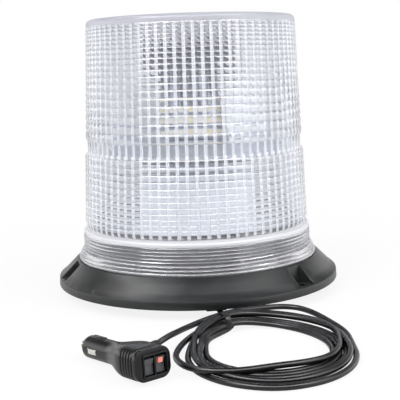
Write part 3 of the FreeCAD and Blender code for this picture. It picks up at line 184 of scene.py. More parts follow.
def grain(tree, place, shade, size, height, low, high):
    """Bump of a given grain size and height in millimetres, and roughness that follows it."""
    noise = add(tree, "TexNoise", {"Vector": place, "Scale": 1000 / size, "Detail": 2.0})
    bump = add(tree, "Bump", {"Height": noise.outputs[0], "Distance": height * MM, "Strength": 0.6})
    tree.links.new(bump.outputs[0], shade.inputs["Normal"])
    wide = add(tree, "TexNoise", {"Vector": place, "Scale": 1000 / (size * 30), "Detail": 3.0})
    rough = add(tree, "MapRange", {"Value": wide.outputs[0], "From Min": 0.3, "From Max": 0.7,
                                   "To Min": low, "To Max": high})
    tree.links.new(rough.outputs[0], shade.inputs["Roughness"])


def maths(tree, operation, *numbers):
    """The result of a Math node, whose inputs are numbers or sockets."""
    return add(tree, "Math", dict(enumerate(numbers)), operation=operation).outputs[0]


def fade(tree, source, start, end):
    """Falls from 1 at start to 0 at end, or rises where start is the greater."""
    return add(tree, "MapRange", {"Value": source, "From Min": start, "From Max": end,
                                  "To Min": 1.0, "To Max": 0.0}).outputs[0]


def ring_edges(tree, height, span, count, growth):
    """1 between two rings and 0 on their bulges, for heights within the span."""
    low, high = span[0] * MM, span[1] * MM
    run = add(tree, "MapRange", {"Value": height, "From Min": low, "From Max": high,
                                 "To Min": growth ** count, "To Max": 1.0}).outputs[0]
    share = maths(tree, "FRACT", maths(tree, "LOGARITHM", run, growth))
    edge = maths(tree, "ABSOLUTE", maths(tree, "MULTIPLY_ADD", share, 2.0, -1.0))
    within = maths(tree, "COMPARE", height, (low + high) / 2, (high - low) / 2)
    return maths(tree, "MULTIPLY", fade(tree, edge, 0.9, 0.55), within)


def clear_polycarbonate():
    """Injection-moulded clear polycarbonate with a high index. The rounded edges of its rings and flutes
    scatter light, and so do the crown and the skirt a little. The scatter's colour is painted light and
    shade:
    white inside, on the beads and on the shoulder, grey on the rest of the outside and on the crown.

    Shadow and diffuse rays pass, so that the works inside are lit as by daylight."""
    sizes = bpy.context.scene.beacon_lens
    material, tree, shade, output, place = start_material(
        "clear_polycarbonate", Base_Color=linear("FBFBFC"), Transmission_Weight=1.0, IOR=1.585,
        Roughness=0.03)
    spot = add(tree, "SeparateXYZ", {0: place})
    height = spot.outputs["Z"]
    level = add(tree, "CombineXYZ", {"X": spot.outputs["X"], "Y": spot.outputs["Y"]})
    radius = add(tree, "VectorMath", {0: level.outputs[0]}, operation="LENGTH").outputs["Value"]
    middle = maths(tree, "MULTIPLY_ADD", height, WALL_LEAN, WALL_MIDDLE * MM)
    inside = maths(tree, "LESS_THAN", radius, middle)
    outside = maths(tree, "SUBTRACT", 1.0, inside)
    turn = maths(tree, "ARCTAN2", spot.outputs["Y"], spot.outputs["X"])
    share = maths(tree, "FRACT", maths(tree, "MULTIPLY", turn, sizes.flutes / math.tau))
    crest = (FLUTE_STATIONS[0][0] + FLUTE_STATIONS[-1][0]) / 2
    flute = fade(tree, maths(tree, "ABSOLUTE", maths(tree, "SUBTRACT", share, crest)), *FLUTE_FADE)
    fluted = maths(tree, "MULTIPLY", fade(tree, height, *FLUTE_FADE_LOW),
                   fade(tree, height, *FLUTE_FADE_HIGH))
    rings_haze = maths(tree, "ADD", ring_edges(tree, height, UPPER, sizes.upper_rings, UPPER_GROWTH),
                       ring_edges(tree, height, LOWER, sizes.lower_rings, LOWER_GROWTH))
    crown = fade(tree, height, *CROWN_FADE)
    skirt = fade(tree, height, *SKIRT_FADE)
    bead = maths(tree, "PINGPONG", maths(tree, "SUBTRACT", height, BEAD_START * MM), BEAD_PITCH * MM / 2)
    bead = maths(tree, "MULTIPLY", fade(tree, bead, 0.3 * MM, 0.55 * MM),
                 maths(tree, "MULTIPLY", skirt, outside))
    shoulder = maths(tree, "MULTIPLY", fade(tree, height, *SHOULDER_FADE), skirt)
    haze = maths(tree, "MULTIPLY", maths(tree, "MULTIPLY", flute, inside), fluted)
    haze = maths(tree, "MULTIPLY", haze, FLUTE_HAZE)
    for mask, strength in ((maths(tree, "MULTIPLY", rings_haze, outside), RING_HAZE), (crown, CROWN_HAZE),
                           (skirt, SKIRT_HAZE), (bead, BEAD_HAZE), (shoulder, SHOULDER_HAZE)):
        haze = maths(tree, "MULTIPLY_ADD", mask, strength, haze)
    haze = maths(tree, "ADD", haze, LENS_HAZE)
    # Painted light and shade: the scatter is white inside, on the beads and on the shoulder, and grey on the
    # rest of the outside and on the crown
    painted_light_share = maths(tree, "MAXIMUM", maths(tree, "MAXIMUM", inside, bead), shoulder)
    painted_light_share = maths(tree, "SUBTRACT", painted_light_share, crown)
    painted_light_and_shade_tint = add(tree, "MixRGB", {0: painted_light_share, 1: linear("BDBDC6"), 2: linear("EFEFF2")})
    scatter = add(tree, "BsdfDiffuse", {"Color": painted_light_and_shade_tint.outputs[0]})
    clouded = add(tree, "MixShader", {0: haze, 1: shade.outputs[0], 2: scatter.outputs[0]})
    rays = add(tree, "LightPath")
    either = maths(tree, "MAXIMUM", rays.outputs["Is Shadow Ray"], rays.outputs["Is Diffuse Ray"])
    through = add(tree, "BsdfTransparent", {"Color": linear("F4F6FA")})
    mixed = add(tree, "MixShader", {0: maths(tree, "MULTIPLY", either, 0.9), 1: clouded.outputs[0],
                                    2: through.outputs[0]})
    tree.links.new(mixed.outputs[0], output.inputs["Surface"])
    return material


def solder_mask():
    """Glass-epoxy board under green solder mask, with its weave just showing."""
    material, tree, shade, _, place = start_material("solder_mask", IOR=1.55)
    weave = add(tree, "TexChecker", {"Vector": place, "Scale": 1000 / 1.2,
                                     "Color1": linear("14532E"), "Color2": linear("17602F")})
    tree.links.new(weave.outputs[0], shade.inputs["Base Color"])
    grain(tree, place, shade, 1.2, 0.02, 0.25, 0.35)
    return material


def anodised_aluminium():
    """Extruded aluminium, bead-blasted and anodised blue-grey: satin, with die lines along the fins."""
    material, tree, shade, _, place = start_material("anodised_aluminium", Metallic=0.85)
    mottle(tree, place, shade, "AEB6C4", "BBC2CE", 10)
    stretched = add(tree, "Mapping", {"Vector": place, "Scale": (1, 1, 0.02)})
    lines = add(tree, "TexNoise", {"Vector": stretched.outputs[0], "Scale": 1000 / 0.8, "Detail": 2.0})
    bump = add(tree, "Bump", {"Height": lines.outputs[0], "Distance": 0.03 * MM, "Strength": 0.5})
    tree.links.new(bump.outputs[0], shade.inputs["Normal"])
    rough = add(tree, "MapRange", {"Value": lines.outputs[0], "To Min": 0.36, "To Max": 0.5})
    tree.links.new(rough.outputs[0], shade.inputs["Roughness"])
    return material


# Finishes that are a shader, a mottle of two shades and a grain: name, shader, shades and size of the
# mottle, then size, height, and least and greatest roughness of the grain
PLAIN_FINISHES = {
    # Black ABS moulded in a spark-eroded tool: a fine satin texture with broad, soft highlights
    "black_abs": ("moulded_abs", dict(IOR=1.53, Specular_IOR_Level=0.45),
                  ("0F1112", "131415", 18), (0.5, 0.05, 0.31, 0.38)),
    # Black glass-filled nylon: flat and a little greyer than ABS
    "black_moulding": ("plain_moulding", dict(IOR=1.53), ("161718", "1D1E1F", 12), (0.6, 0.05, 0.5, 0.6)),
    # White gloss ABS, a little cool, as a deck that throws the light back up
    "white_abs": ("white_abs", dict(IOR=1.53), ("ECEEF3", "F3F5F8", 25), (0.8, 0.02, 0.22, 0.3)),
    # Black nitrile rubber: matt, with a dusty bloom in patches
    "black_rubber": ("moulded_rubber", dict(IOR=1.52, Specular_IOR_Level=0.35),
                     ("141415", "232324", 9), (0.7, 0.08, 0.62, 0.78)),
    # Zinc-plated steel: grey-white metal with a slightly cloudy passivation
    "zinc_steel": ("zinc_plate", dict(Metallic=1.0), ("9EA2A6", "B9BDC1", 4), (0.4, 0.02, 0.28, 0.42)),
    # Hardened and ground bearing steel: bright, with fine round grinding marks
    "bearing_steel": ("ground_steel", dict(Metallic=1.0),
                      ("B8BABD", "C6C8CB", 3), (0.3, 0.01, 0.12, 0.2)),
    # Sintered ferrite: charcoal, matt and slightly grainy, as pressed and fired
    "ferrite": ("sintered_ferrite", dict(IOR=2.3, Specular_IOR_Level=0.3),
                ("2B2B2D", "3A3A3C", 1.5), (0.4, 0.05, 0.6, 0.75)),
    # Epoxy moulding of coils and drivers: near black, slightly rough
    "electronic_parts": ("component_moulding", dict(IOR=1.55),
                         ("1B1B1D", "27272A", 5), (0.5, 0.05, 0.45, 0.6)),
    # Red PVC wire insulation: soft gloss
    "red_wire": ("wire_insulation", dict(IOR=1.53), ("7D1414", "8E1A1A", 6), (0.8, 0.02, 0.3, 0.4)),
    # Metal-core lamp board under white solder mask, warmed by the chips
    "led_carrier": ("lamp_board", dict(IOR=1.5), ("EDEAD9", "F4F2E8", 6), (0.8, 0.02, 0.3, 0.4)),
    # Yellow phosphor in silicone over each chip: warm, soft and slightly deep
    "phosphor": ("phosphor", dict(IOR=1.41, Subsurface_Weight=0.3, Subsurface_Scale=0.5 * MM),
                 ("F5DC8E", "FAE8B0", 1.2), (0.4, 0.03, 0.3, 0.45)),
    # Natural acetal, hobbed and left as cut: off-white and waxy
    "acetal": ("acetal", dict(IOR=1.48), ("DAD8CE", "E4E2D9", 8), (0.6, 0.02, 0.32, 0.42)),
    # Vacuum-metallised reflector: aluminium on a finely pebbled moulding, so it spreads the light
    "mirror_chrome": ("vacuum_metal", dict(Metallic=0.1, IOR=1.6),
                      ("F6F7F9", "FFFFFF", 14), (1.5, 0.05, 0.3, 0.4)),
    # Free-cutting brass, turned: warm yellow metal with light tarnish
    "brass": ("turned_brass", dict(Metallic=1.0), ("B58F4A", "CDA85F", 2), (0.3, 0.01, 0.2, 0.32)),
    # Nickel plate on sprung brass: bright and very slightly warm
    "nickel_plate": ("nickel_plate", dict(Metallic=1.0),
                     ("CBC8C2", "D9D6D0", 2), (0.5, 0.01, 0.12, 0.22)),
    # Black ABS plug body from a polished tool that handling has dulled: soft gloss on worn edges
    "plug_black": ("plug_moulding", dict(IOR=1.53, Specular_IOR_Level=0.28),
                   ("060608", "0A0A0C", 5), (0.35, 0.02, 0.16, 0.24)),
    # Grey-black polyamide rocker with a fine sand-blast texture
    "rocker_grey": ("rocker_moulding", dict(IOR=1.53),
                    ("3A3B3D", "47484B", 1.2), (0.3, 0.06, 0.34, 0.46)),
    # Translucent orange acrylic window of the indicator, with a faint painted glow added as emission
    "indicator_orange": ("indicator_lens", dict(IOR=1.49, Transmission_Weight=0.25,
                                                Emission_Color=linear("FF8A6A"), Emission_Strength=0.2),
                         ("E5735A", "F6B09C", 0.8), (0.4, 0.02, 0.12, 0.2)),
    # Soda glass tube of the fuse: clear with a grey edge
    "fuse_glass": ("fuse_glass", dict(IOR=1.5, Transmission_Weight=0.8),
                   ("DDE2E0", "E6EAE8", 3), (2, 0.01, 0.04, 0.08)),
    # Round PVC cable sheath, extruded: black, satin, with faint ripples along its length
    "cable_black": ("pvc_sheath", dict(IOR=1.53, Specular_IOR_Level=0.36),
                    ("0A0A0C", "101012", 7), (1.1, 0.04, 0.24, 0.34)),
}


def plain_finish(name, shader, shades, texture):
    """A material of the plain kind, from its row."""
    material, tree, shade, _, place = start_material(name, **shader)
    mottle(tree, place, shade, *shades)
    grain(tree, place, shade, *texture)
    return material


SPECIAL_FINISHES = {
    "clear_polycarbonate": clear_polycarbonate, "circuit_board": solder_mask,
    "anodised_aluminium": anodised_aluminium,
}
made = {}
SLOT_OF = {entry["node"]: entry["material_slot"] for entry in frame["record"]["subparts"]}


def finish_of(slot):
    """The material of a slot, made once."""
    if slot not in made:
        made[slot] = (plain_finish(*PLAIN_FINISHES[slot]) if slot in PLAIN_FINISHES
                      else SPECIAL_FINISHES[slot]())
    return made[slot]


# ---------------------------------------------------------------- modelling helpers

def clear_selection():
    """Leaves edit mode and selects nothing."""
    if bpy.context.object and bpy.context.object.mode != "OBJECT":
        bpy.ops.object.mode_set(mode="OBJECT")
    for piece in list(bpy.context.selected_objects):
        piece.select_set(False)


def pick(piece):
    """Makes one object the selected and active one."""
    clear_selection()
    piece.select_set(True)
    bpy.context.view_layer.objects.active = piece


def modify(piece, kind, **settings):
    """Adds a modifier and applies it."""
    pick(piece)
    modifier = piece.modifiers.new(kind.title(), kind)
    for name, setting in settings.items():
        setattr(modifier, name, setting)
    bpy.ops.object.modifier_apply(modifier=modifier.name)


def bake_place(piece, matrix=None):
    """Puts the piece's place into its mesh, so that its object sits at the origin."""
    if matrix is not None:
        piece.matrix_world = matrix @ piece.matrix_world
    pick(piece)
    bpy.ops.object.transform_apply(location=True, rotation=True, scale=True)


def smooth(piece, degrees):
    """Shades smooth, with edges past the angle kept sharp."""
    pick(piece)
    bpy.ops.object.shade_smooth_by_angle(angle=math.radians(degrees))


def finish(piece, slot, body, *nodes):
    """Gives the piece its material, its body and the solids that it stands for."""
    piece.data.materials.clear()
    piece.data.materials.append(finish_of(slot))
    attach(piece, body)
    if nodes:
        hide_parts(*nodes)
    return piece


def turned(name, outline, steps):
    """Spins an outline of (radius, height) points round Z into a closed skin."""
    clear_selection()
    bpy.ops.mesh.primitive_plane_add(size=MM)
    piece = bpy.context.object
    piece.name = name
    bpy.ops.object.mode_set(mode="EDIT")
    bpy.ops.mesh.select_mode(type="VERT")
    bpy.ops.mesh.select_all(action="SELECT")
    bpy.ops.mesh.merge(type="CENTER")
    bpy.ops.transform.translate(value=(outline[0][0], 0, outline[0][1]))
    for (near, low), (far, high) in zip(outline, outline[1:]):
        bpy.ops.mesh.extrude_region_move(TRANSFORM_OT_translate={"value": (far - near, 0, high - low)})
    bpy.ops.mesh.select_all(action="SELECT")
    bpy.ops.mesh.spin(steps=steps, angle=math.tau, center=(0, 0, 0), axis=(0, 0, 1))
    bpy.ops.mesh.select_all(action="SELECT")
    bpy.ops.mesh.remove_doubles(threshold=0.002 * MM)
    bpy.ops.mesh.normals_make_consistent(inside=False)
    bpy.ops.object.mode_set(mode="OBJECT")
    return piece


def copy_of(node, name, bevel, angle=35, flat_limit=0.5):
    """A merged copy of a solid, with its edges eased by a small bevel. Facets that meet within flat_limit
    degrees become one face, unless the limit is 0."""
    solid = frame["nodes"][node]
    piece = bpy.data.objects.new(name, solid.data.copy())
    bpy.context.scene.collection.objects.link(piece)
    pick(piece)
    bpy.ops.object.mode_set(mode="EDIT")
    bpy.ops.mesh.select_all(action="SELECT")
    bpy.ops.mesh.remove_doubles(threshold=0.001 * MM)
    if flat_limit:
        bpy.ops.mesh.dissolve_limited(angle_limit=math.radians(flat_limit))
    bpy.ops.object.mode_set(mode="OBJECT")
    modify(piece, "BEVEL", width=bevel * MM, segments=2, limit_method="ANGLE",
           angle_limit=math.radians(angle), use_clamp_overlap=True)
    smooth(piece, 30)
    return piece


# ---------------------------------------------------------------- lens

def rings(low, high, radii, count, growth, rise):
    """Outline of bulging rings from low to high. Each ring is growth times as tall as the one above it."""
    top_pitch = (high - low) * (growth - 1) / (growth ** count - 1)
    heights = [high]
    for index in range(count):
        heights.append(heights[-1] - top_pitch * growth ** index)
    heights.reverse()
    points = []
    for bottom, top in zip(heights, heights[1:]):
        for share in RING_STATIONS:
            height = bottom + (top - bottom) * share
            wall = radii[0] + (radii[1] - radii[0]) * (height - low) / (high - low)
            bulge = rise * (top - bottom) * (1 - abs(2 * share - 1) ** 3)
            points.append((wall + bulge, height))
    points.append((radii[1], high))
    return points


def lens_outline(sizes):
    """Outline of the lens in millimetres: skirt, lower rings, band, upper rings, crown, and the inside."""
    rise = sizes.ring_rise
    skirt = [(78.8, LENS_FOOT), (78.8, 23.5), (78.5, 23.9), (77.9, 24.1), (77.7, 25.6), (77.3, 26.0),
             (76.9, 26.2), (76.6, 27.7), (76.2, 28.2), (75.7, 28.5), (75.4, 30.0)]
    beads = []
    for index in range(BEAD_COUNT):
        bottom = BEAD_START + BEAD_PITCH * index
        beads += [(74.7, bottom), (75.1, bottom + 0.4), (75.2, bottom + 1.0), (75.1, bottom + 1.6),
                  (74.7, bottom + 2.0)]
    shoulder = [(74.7, 39.4), (74.9, 40.4), (74.5, 41.3), (73.6, 42.0), (72.4, 42.4), (72, 42.5), (72, 43.3),
                (72.3, 43.5), (72.9, 44.2), (73.2, 45.0)]
    lower = rings(*LOWER, LOWER_RADII, sizes.lower_rings, LOWER_GROWTH, rise)
    upper = rings(*UPPER, UPPER_RADII, sizes.upper_rings, UPPER_GROWTH, rise)
    band = [(BAND_RADIUS, LOWER[1] + 0.2), (BAND_RADIUS, UPPER[0] - 0.2)]
    crown = [(67.4, 171.6), (67.5, 172.6), (67.4, 173.6), (67.0, 174.6), (66.2, 175.4), (65.2, 175.9),
             (64.2, LENS_TOP), (40, LENS_TOP), (0, LENS_TOP)]
    inside = [(0, LENS_TOP - LENS_WALL), (40, LENS_TOP - LENS_WALL), (63.4, LENS_TOP - LENS_WALL),
              (64.6, 172.6), (65, 171.4), (65, 170.6), (UPPER_RADII[1] - LENS_WALL, UPPER_INSIDE[1]),
              (UPPER_RADII[0] - LENS_WALL, UPPER_INSIDE[0]), (BAND_RADIUS - LENS_WALL, UPPER[0] - 0.6),
              (BAND_RADIUS - LENS_WALL, LOWER[1] + 0.2), (LOWER_RADII[1] - LENS_WALL, LOWER[1] - 1),
              (LOWER_RADII[0] - LENS_WALL, 44.8), (LOWER_RADII[0] - LENS_WALL, 44.4),
              (69.6, 43.4), (69.6, 41.2), (71.9, 38.6), (71.9, 30), (71.9, LENS_FOOT), (78.8, LENS_FOOT)]
    return skirt + beads + shoulder + lower + band + upper + crown + inside


def inner_wall(height):
    """Radius of the fluted inside wall, in millimetres, or None where it has no flutes."""
    if FLUTE_FOOT <= height <= LOWER[1] - FLUTE_HEAD:
        share = (height - LOWER[0]) / (LOWER[1] - LOWER[0])
        return LOWER_RADII[0] + (LOWER_RADII[1] - LOWER_RADII[0]) * share - LENS_WALL
    if LOWER[1] < height < UPPER[0]:
        return BAND_RADIUS - LENS_WALL
    low, high = UPPER_INSIDE
    if low - FLUTE_OVERRUN < height < high + FLUTE_OVERRUN:
        share = (height - low) / (high - low)
        return UPPER_RADII[0] + (UPPER_RADII[1] - UPPER_RADII[0]) * share - LENS_WALL
    return None


class BEACON_OT_lens(bpy.types.Operator):
    """Clear lens with outer rings and inner flutes"""
    bl_idname = "beacon.lens"
    bl_label = "Lens"

    def execute(self, context):
        sizes = context.scene.beacon_lens
        outline = [(radius * MM, height * MM) for radius, height in lens_outline(sizes)]
        piece = turned("Lens_Moulding", outline, sizes.flutes * len(FLUTE_STATIONS))
        for vertex in piece.data.vertices:
            radius = math.hypot(vertex.co.x, vertex.co.y)
            wall = inner_wall(vertex.co.z / MM)
            if wall is None or abs(radius / MM - wall) > 0.5:
                continue
            turn = math.atan2(vertex.co.y, vertex.co.x) * sizes.flutes / math.tau
            step = round(turn * len(FLUTE_STATIONS))
            share, crest = FLUTE_STATIONS[step % len(FLUTE_STATIONS)]
            angle = (step // len(FLUTE_STATIONS) + share) * math.tau / sizes.flutes
            radius -= crest * sizes.flute_depth
            vertex.co.x = radius * math.cos(angle)
            vertex.co.y = radius * math.sin(angle)
        smooth(piece, 40)
        finish(piece, "clear_polycarbonate", "lens", "lens")
        # A black ring on the spigot, seen through the flutes: painted shade where the gap under the lens
        # lies in shadow
        (near, far), (low, high) = SHADE_RING_RADII, SHADE_RING_HEIGHTS
        lip = [(near, low), (far, low), (far, high - 0.2), (far - 0.2, high), (near + 0.2, high),
               (near, high - 0.2), (near, low)]
        shade_ring = turned("Shade_Ring", [(radius * MM, height * MM) for radius, height in lip], 160)
        smooth(shade_ring, 40)
        finish(shade_ring, "black_rubber", "base")
        return {"FINISHED"}


# ---------------------------------------------------------------- base

# Direction of the cable's exit, its height, where its relief starts and where the cable leaves it
EXIT_TURN = math.radians(-82)
EXIT_HEIGHT = 3.4
RELIEF_START = 65
RELIEF_END = 78.375


def towards(direction, spot):
    """The placement that turns +Z to a direction and moves the origin to a spot."""
    return Matrix.Translation(spot) @ direction.to_track_quat("Z", "Y").to_matrix().to_4x4()


class BEACON_OT_base(bpy.types.Operator):
    """Housing with eased edges, and the ribbed strain relief at the cable's exit"""
    bl_idname = "beacon.base"
    bl_label = "Base"

    def execute(self, context):
        housing = copy_of("base_housing", "Base_Flange", bevel=0.7, flat_limit=0)
        finish(housing, "black_abs", "base", "base_housing")
        along = Vector((math.cos(EXIT_TURN), math.sin(EXIT_TURN), 0))
        outline = [(0, 0), (2.8, 0), (2.8, 8.4)]
        for index in range(3):
            start = 8.6 + 1.5 * index
            thick = 2.75 - 0.2 * index
            outline += [(thick - 0.45, start), (thick - 0.45, start + 0.5), (thick, start + 0.6),
                        (thick - 0.03, start + 1.4)]
        outline += [(2.05, 13.2), (1.9, 13.4), (0, 13.4)]
        relief = turned("Cable_Relief", [(radius * MM, height * MM) for radius, height in outline], 32)
        start = along * RELIEF_START * MM + Vector((0, 0, EXIT_HEIGHT * MM))
        bake_place(relief, towards(along, start))
        smooth(relief, 40)
        finish(relief, "black_rubber", "base", "cable_grommet")
        return {"FINISHED"}


# ---------------------------------------------------------------- cord

CORD_EXIT = (Vector((math.cos(EXIT_TURN), math.sin(EXIT_TURN), 0)) * RELIEF_END * MM
             + Vector((0, 0, EXIT_HEIGHT * MM)))
COIL_CENTRE = Vector((34.6, -151.5, 0))
# Each turn of the coil in millimetres: reach and height at the left, front left, front, front right, right,
# back right, back and back left. The last turn goes on as the plug's lead.
TURNS = [
    ((32.2, 1.7), (36.5, 1.7), (38.5, 1.7), (36.0, 1.7), (32.4, 1.7), (34.5, 1.7), (41.8, 1.7), (38.9, 1.7)),
    ((35.7, 1.7), (40.6, 1.7), (42.2, 1.7), (39.8, 1.7), (35.8, 1.7), (38.2, 1.7), (45.4, 1.7), (41.6, 1.7)),
    ((34.0, 4.9), (44.6, 1.8), (46.0, 1.7), (43.4, 1.7), (39.1, 1.7), (42.0, 1.7), (49.0, 1.7), (44.6, 2.4)),
    ((46.1, 3.0), (54.8, 4.6), (37.2, 5.0), (38.4, 5.0), (36.6, 5.0), (46.0, 5.0), (53.2, 4.8), (45.6, 4.9)),
    ((37.8, 4.4), (47.0, 3.6), (51.0, 1.9), (47.4, 3.2), (40.0, 4.9), (44.6, 4.9), (49.6, 4.9), (42.8, 4.9)),
    ((40.6, 1.7), (50.4, 1.7), (58.8, 1.7), (51.2, 1.8), (43.2, 2.2), (51.0, 4.6)),
]
# Where the turns rise over the base lead, in degrees, how high, and over what spread
BRIDGE_TURN = 116
BRIDGE_RISE = 3.3
BRIDGE_SPREAD = 24


def coil_points():
    """Centre points of the coil's turns, counterclockwise from the left, 16 to each whole turn."""
    spots = [spot for turn in TURNS for spot in turn]
    points = []
    for half_step in range(2 * len(spots) - 1):
        index = half_step // 2
        reach, height = spots[index]
        if half_step % 2:
            near = [spots[max(0, min(len(spots) - 1, index + offset))] for offset in (-1, 0, 1, 2)]
            reach, height = ((9 * (second + third) - first - fourth) / 16 for first, second, third, fourth
                             in zip(*near))
        turn = 180 + 22.5 * half_step
        away = (turn - BRIDGE_TURN + 180) % 360 - 180
        if turn > 360:
            height += BRIDGE_RISE * math.exp(-(away / BRIDGE_SPREAD) ** 2)
        angle = math.radians(turn)
        points.append(COIL_CENTRE + Vector((reach * math.cos(angle), reach * math.sin(angle), height)))
    return points


class BEACON_OT_cord(bpy.types.Operator):
    """Cable from the base, round its coil and on to the plug"""
    bl_idname = "beacon.cord"
    bl_label = "Cord"

    def execute(self, context):
        sizes = context.scene.beacon_cord
        along = Vector((math.cos(EXIT_TURN), math.sin(EXIT_TURN), 0))
        tip = CORD_EXIT / MM
        base_lead = [tip, tip + along * 6.5, Vector((14, -91.5, 2)), Vector((17.5, -99, 1.8)),
                     Vector((18.5, -107, 1.7)), Vector((16, -115, 1.7)), Vector((11.5, -122, 1.7)),
                     Vector((6.2, -129.3, 1.7)), Vector((2.8, -138, 1.7))]
        outlet, outward = plug_outlet()
        end = outlet + outward * OUTLET_LENGTH
        plug_lead = [end, end + outward * 6, Vector((-15.8, -151, 9.7)), Vector((-12.6, -138.4, 7.4)),
                     Vector((-9.2, -126, 5.4)), Vector((-5, -116.4, 4.3)), Vector((0.4, -109, 4.3)),
                     Vector((7, -105, 5.4)), Vector((14.5, -103.4, 7)), Vector((22.5, -100.4, 7.6)),
                     Vector((31.5, -95.6, 7)), Vector((40.5, -91, 6.4)), Vector((49.5, -88.8, 5.9)),
                     Vector((58, -92, 5.6)), Vector((64.8, -101.6, 5.2))]
        route = base_lead + coil_points() + plug_lead[::-1]
        curve = bpy.data.curves.new("Cable", "CURVE")
        curve.dimensions = "3D"
        spline = curve.splines.new("NURBS")
        spline.points.add(len(route) - 1)
        for point, spot in zip(spline.points, route):
            point.co = (*(spot * MM), 1)
        spline.order_u = 3
        spline.use_endpoint_u = True
        spline.resolution_u = 6
        curve.bevel_depth = sizes.diameter / 2
        curve.bevel_resolution = 4
        curve.use_fill_caps = True
        cable = bpy.data.objects.new("Cable", curve)
        bpy.context.scene.collection.objects.link(cable)
        curve.materials.append(finish_of("cable_black"))
        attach(cable, "base")
        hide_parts("cord_base_lead", "cord_coil", "cord_plug_lead")
        return {"FINISHED"}


# Direction of the tie from the coil's centre, in degrees, and its middle's reach and height
TIE_TURN = 119
TIE_REACH = 43
TIE_HEIGHT = 5.3
# Half its span across the turns and upright, its width and the strap's thickness
TIE_HALF_ACROSS = 5.6
TIE_HALF_UP = 4.9
TIE_WIDTH = 3.2
TIE_STRAP = 0.7


class BEACON_OT_tie(bpy.types.Operator):
    """Strap round the coil's turns"""
    bl_idname = "beacon.tie"
    bl_label = "Tie"

    def execute(self, context):
        angle = math.radians(TIE_TURN)
        outward = Vector((math.cos(angle) * 42, math.sin(angle) * 52, 0)).normalized()
        side = outward.cross(Vector((0, 0, 1)))
        middle = COIL_CENTRE + Vector((math.cos(angle) * TIE_REACH, math.sin(angle) * TIE_REACH,
                                       TIE_HEIGHT))
        clear_selection()
        bpy.ops.mesh.primitive_circle_add(vertices=40, radius=1)
        piece = bpy.context.object
        piece.name = "Coil_Tie"
        for vertex in piece.data.vertices:
            turn = math.atan2(vertex.co.y, vertex.co.x)
            across = TIE_HALF_ACROSS * math.copysign(abs(math.cos(turn)) ** 0.6, math.cos(turn))
            up = TIE_HALF_UP * math.copysign(abs(math.sin(turn)) ** 0.7, math.sin(turn))
            vertex.co = (middle + outward * across + Vector((0, 0, up)) - side * TIE_WIDTH / 2) * MM
        pick(piece)
        bpy.ops.object.mode_set(mode="EDIT")
        bpy.ops.mesh.select_all(action="SELECT")
        bpy.ops.mesh.extrude_region_move(TRANSFORM_OT_translate={"value": side * TIE_WIDTH * MM})
        bpy.ops.mesh.select_all(action="SELECT")
        bpy.ops.mesh.normals_make_consistent(inside=False)
        bpy.ops.object.mode_set(mode="OBJECT")
        modify(piece, "SOLIDIFY", thickness=TIE_STRAP * MM, offset=-1)
        modify(piece, "BEVEL", width=0.2 * MM, segments=2, limit_method="ANGLE",
               angle_limit=math.radians(50))
        smooth(piece, 40)
        finish(piece, "cable_black", "base", "cord_tie")
        return {"FINISHED"}


# ---------------------------------------------------------------- plug

PLUG_TIP = Vector((-60.6, -145.6, 0))
PLUG_TURN = math.radians(-51.8)
BARREL_START, BARREL_END, HEAD_START, HEAD_END, FACE_END = 8, 29, 38.5, 59.2, 62.2
BARREL_RADIUS, HEAD_WIDTH, HEAD_TALL = 5.8, 21, 16
OUTLET_LENGTH = 6.5
# Where the neck stops widening, and how square the head is there, from 0 for round to 1
NECK_END = 49.5
HEAD_SQUARENESS = 0.38
# Middle of the switches, to the right of the plug's axis and below it
SWITCH_SIDE, SWITCH_DROP = 1.3, 0.6
# Half width and half height of the raised frame round them
FRAME_ACROSS, FRAME_UP = 7.1, 5.6
# First rib of the grip, from rib to rib, and how many
RIB_START, RIB_PITCH, RIB_COUNT = 50, 2.2, 4
SECTION_POINTS = 64


def plug_matrix():
    """Placement of the plug: its barrel and the lower edge of its head lie on the floor."""
    tilt = math.atan2(HEAD_TALL / 2 - BARREL_RADIUS, HEAD_START - BARREL_START)
    height = BARREL_RADIUS * math.cos(tilt) - BARREL_START * math.sin(tilt) + 0.05
    spot = (PLUG_TIP + Vector((0, 0, height))) * MM
    return Matrix.Translation(spot) @ Matrix.Rotation(PLUG_TURN, 4, "Z") @ Matrix.Rotation(-tilt, 4, "Y")


def plug_outlet():
    """Where the cable leaves the head and the way it points, in millimetres."""
    matrix = plug_matrix()
    spot = matrix @ (Vector((FACE_END - 16, HEAD_WIDTH / 2, 3)) * MM)
    lean = math.radians(30)
    return spot / MM, matrix.to_3x3() @ Vector((-math.sin(lean), math.cos(lean), 0))


def section(station, width, tall, squareness, ribbed):
    """A ring of points across the plug's axis, from round to nearly square. Ribs stand on its sides."""
    points = []
    power = 1 - squareness
    for step in range(SECTION_POINTS):
        turn = math.tau * step / SECTION_POINTS
        across = math.copysign(abs(math.cos(turn)) ** power, math.cos(turn))
        up = math.copysign(abs(math.sin(turn)) ** power, math.sin(turn))
        side = ribbed * min(1, abs(across) ** 4) * min(1, 2.2 - 2.2 * abs(up))
        points.append(Vector((station, across * (width / 2 + max(side, -1)), up * tall / 2)) * MM)
    return points


def skin(name, sections):
    """A closed skin over rings of points, one after another."""
    mesh = bpy.data.meshes.new(name)
    shell = bmesh.new()
    loops = [[shell.verts.new(point) for point in ring] for ring in sections]
    for near, far in zip(loops, loops[1:]):
        for index in range(len(near)):
            after = (index + 1) % len(near)
            shell.faces.new((near[index], far[index], far[after], near[after]))
    shell.faces.new(loops[0])
    shell.faces.new(loops[-1][::-1])
    bmesh.ops.recalc_face_normals(shell, faces=shell.faces)
    shell.to_mesh(mesh)
    shell.free()
    piece = bpy.data.objects.new(name, mesh)
    bpy.context.scene.collection.objects.link(piece)
    return piece


